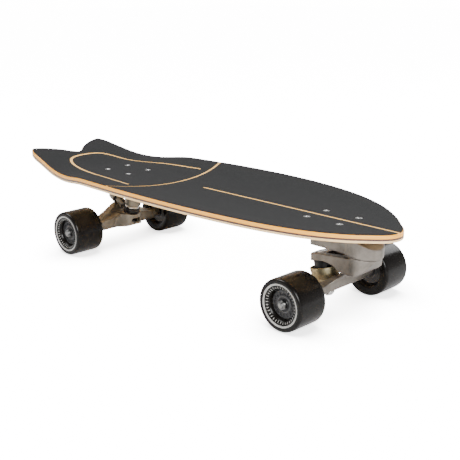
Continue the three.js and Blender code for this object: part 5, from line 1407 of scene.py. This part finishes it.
def rear_hanger():
    ring_top, ring_bottom = REAR_STACK["ring_top"], REAR_STACK["ring_bottom"]
    ring_plate = on_rear_kingpin(plain(REAR_BOSS_RADIUS, ring_bottom, ring_top, 64))
    bushing_room = on_rear_kingpin(plain(REAR_BOSS_RADIUS + GAP, ring_top, REAR_BOSS_HEIGHT, 64))
    slot = raised(stadium(ROAD_WASHER_RADIUS + 4 * GAP, MOUTH_GAP), 2 * REAR_STACK["end"], ring_bottom)
    kingpin_room = on_rear_kingpin(plain(KINGPIN_HOLE, 2 * REAR_STACK["end"], 0))
    nose = overlap(rear_blade(NOSE_SIDE_SHARES, NOSE_FACE_SHARES), raised(tear_plan(*NOSE_PLAN), -FAR, FAR))
    web = rear_blade(WEB_SIDE_SHARES, WEB_FACE_SHARES)
    wing = rear_blade(WING_SIDE_SHARES, WING_FACE_SHARES)
    blades = join(axle_tube(REAR_TUBE_RADIUS, REAR_TRACK, REAR_AXLE), web, wing, nose)
    casting = join(cut(blades, on_rear_kingpin(slot)), ring_plate, on_rear_lean(pivot_stem(REAR_STEM_LENGTH)))
    window = faced(softened(WINDOW_OUTLINE, WINDOW_CORNER), *WINDOW_SPAN)
    casting = cut(casting, bushing_room, kingpin_room, axle_bore(REAR_TRACK, REAR_AXLE), window)
    truck_piece("rear", cast(casting, 5), "hanger_casting", BROWN_CAST, "hanger")


def rear_small_parts():
    kingpin = lathe(bar(KINGPIN_RADIUS, REAR_STACK["end"], REAR_STUD_DEPTH, KINGPIN_EDGE), 48)
    truck_piece("rear", on_rear_kingpin(kingpin), "kingpin_bolt", STEEL, "kingpin")
    hole, low, high = KINGPIN_BORE, REAR_STACK["bushing_bottom"], REAR_STACK["bushing_top"]
    neck = CUP_WASHER_RADIUS - CUP_WASHER_THICKNESS - GAP
    belly, lip = REAR_BUSHING_RADIUS, CUP_WASHER_LIP
    cushion = softened([(hole, low), (neck, low), (belly, low + lip), (belly, high - 2 * lip),
                        (neck, high - lip), (neck, high), (hole, high)], 1.2)
    truck_piece("rear", on_rear_kingpin(lathe(cushion, 72)), "board_cushion", BUSHING, "board_bushing")
    back, face, rim = -GAP, -GAP - CUP_WASHER_THICKNESS, CUP_WASHER_RADIUS
    inner = rim - CUP_WASHER_THICKNESS
    cup = softened([(hole, back), (inner, back), (rim, face), (rim, face - lip), (inner, face - lip),
                    (inner, face), (hole, face)], 0.5)
    truck_piece("rear", on_rear_kingpin(lathe(cup, 72)), "board_disc", STEEL, "board_washer")
    road_parts("rear", REAR_STACK, on_rear_kingpin, STEEL)
    pivot_cup("rear", on_rear_lean)


def riser(end):
    """The pad between the deck and a base plate, with rounded edges."""
    low = TRUCKS[end][2] + GAP
    high = DECK_TOP - DECK_THICKNESS - GAP
    edge = min(RISER_EDGE, (high - low) / 3)
    rings = []
    for inset, z in ((0.5, low), (0.1, low + edge / 2), (0, low + edge), (0, high - edge),
                     (0.1, high - edge / 2), (0.5, high)):
        plan = rounded_plate(FLANGE_LENGTH - 2 * inset, FLANGE_WIDTH - 2 * inset, FLANGE_CORNER - inset)
        rings.append([(x, y, z) for x, y in plan])
    holes = [shifted(plain(BOLT_RADIUS + GAP, low - 5, high + 5, 24), x, y) for x, y in bolt_spots(0)]
    pad = cut(object_of(stacked(rings)), *holes)
    piece(shifted(pad, TRUCKS[end][0]), f"{end}_riser_pad", PLASTIC, f"{end}_riser")


rear_base()
rear_hanger()
rear_small_parts()
riser("front")
riser("rear")


# Studio
TARGET = Vector((0, 0, 0.1))
FLOOR_HALF = 12


def emitter(name, place, size, power):
    data = bpy.data.lights.new(name, "AREA")
    data.shape = "DISK"
    data.size = size
    data.energy = power
    light = bpy.data.objects.new(name, data)
    away = Vector(place) - TARGET
    light.matrix_world = Matrix.Translation(place) @ away.to_track_quat("Z", "Y").to_matrix().to_4x4()
    bpy.context.collection.objects.link(light)


def add_floor():
    bm = bmesh.new()
    bmesh.ops.create_grid(bm, x_segments=1, y_segments=1, size=FLOOR_HALF)
    floor = object_of(bm)
    floor.name = "floor"
    paper = Finish("paper", Roughness=0.85, Emission_Color=(1.0, 1.0, 1.0, 1.0))
    # The paper is lit to near white for the picture alone, as a backlit sweep is
    # An ambient occlusion node turns this glow down near the board, which paints a soft contact shadow on the
    # paper
    painted_contact_shadow = paper.node("AmbientOcclusion", "AO", Distance=0.07)
    glow = paper.worked("MULTIPLY", paper.node("LightPath", "Is Camera Ray"),
                        paper.span(painted_contact_shadow, 2.5, 15.0, 0.45, 0.97))
    # Seen from below the paper is clear, so that the underside can be looked at
    below = paper.node("NewGeometry", "Backfacing")
    color = paper.ramp(paper.noise(3, 2.0), (0.3, (0.91, 0.91, 0.91)), (0.7, (0.94, 0.94, 0.94)))
    paper.feed(paper.shader, {"Base Color": color, "Emission Strength": glow,
                              "Alpha": paper.span(below, 1.0, 0.0, 0.0, 1.0)})
    floor.data.materials.append(paper.material)


def add_sky():
    """A sky that darkens with height, and shows white to the camera alone."""
    world = bpy.data.worlds.new("studio")
    sky = Nodes(world)
    height = sky.node("SeparateXYZ", "Z", Vector=sky.node("TexCoord", "Generated"))
    stops = [(place, (tone, tone * 0.985, tone * 0.97)) for place, tone in ((0.0, 1.0), (0.55, 0.22))]
    shine = sky.span(sky.node("LightPath", "Is Camera Ray"), 1.0, 16.0, 0.0, 1.0)
    sky.feed(sky.nodes["Background"], {"Color": sky.ramp(height, *stops), "Strength": shine})
    bpy.context.scene.world = world


add_floor()
add_sky()
emitter("key", (-1.6, -0.6, 2.6), 1.8, 90)
emitter("back", (0.2, 2.4, 1.8), 1.6, 50)
emitter("fill", (2.1, -1.1, 1.5), 1.4, 130)
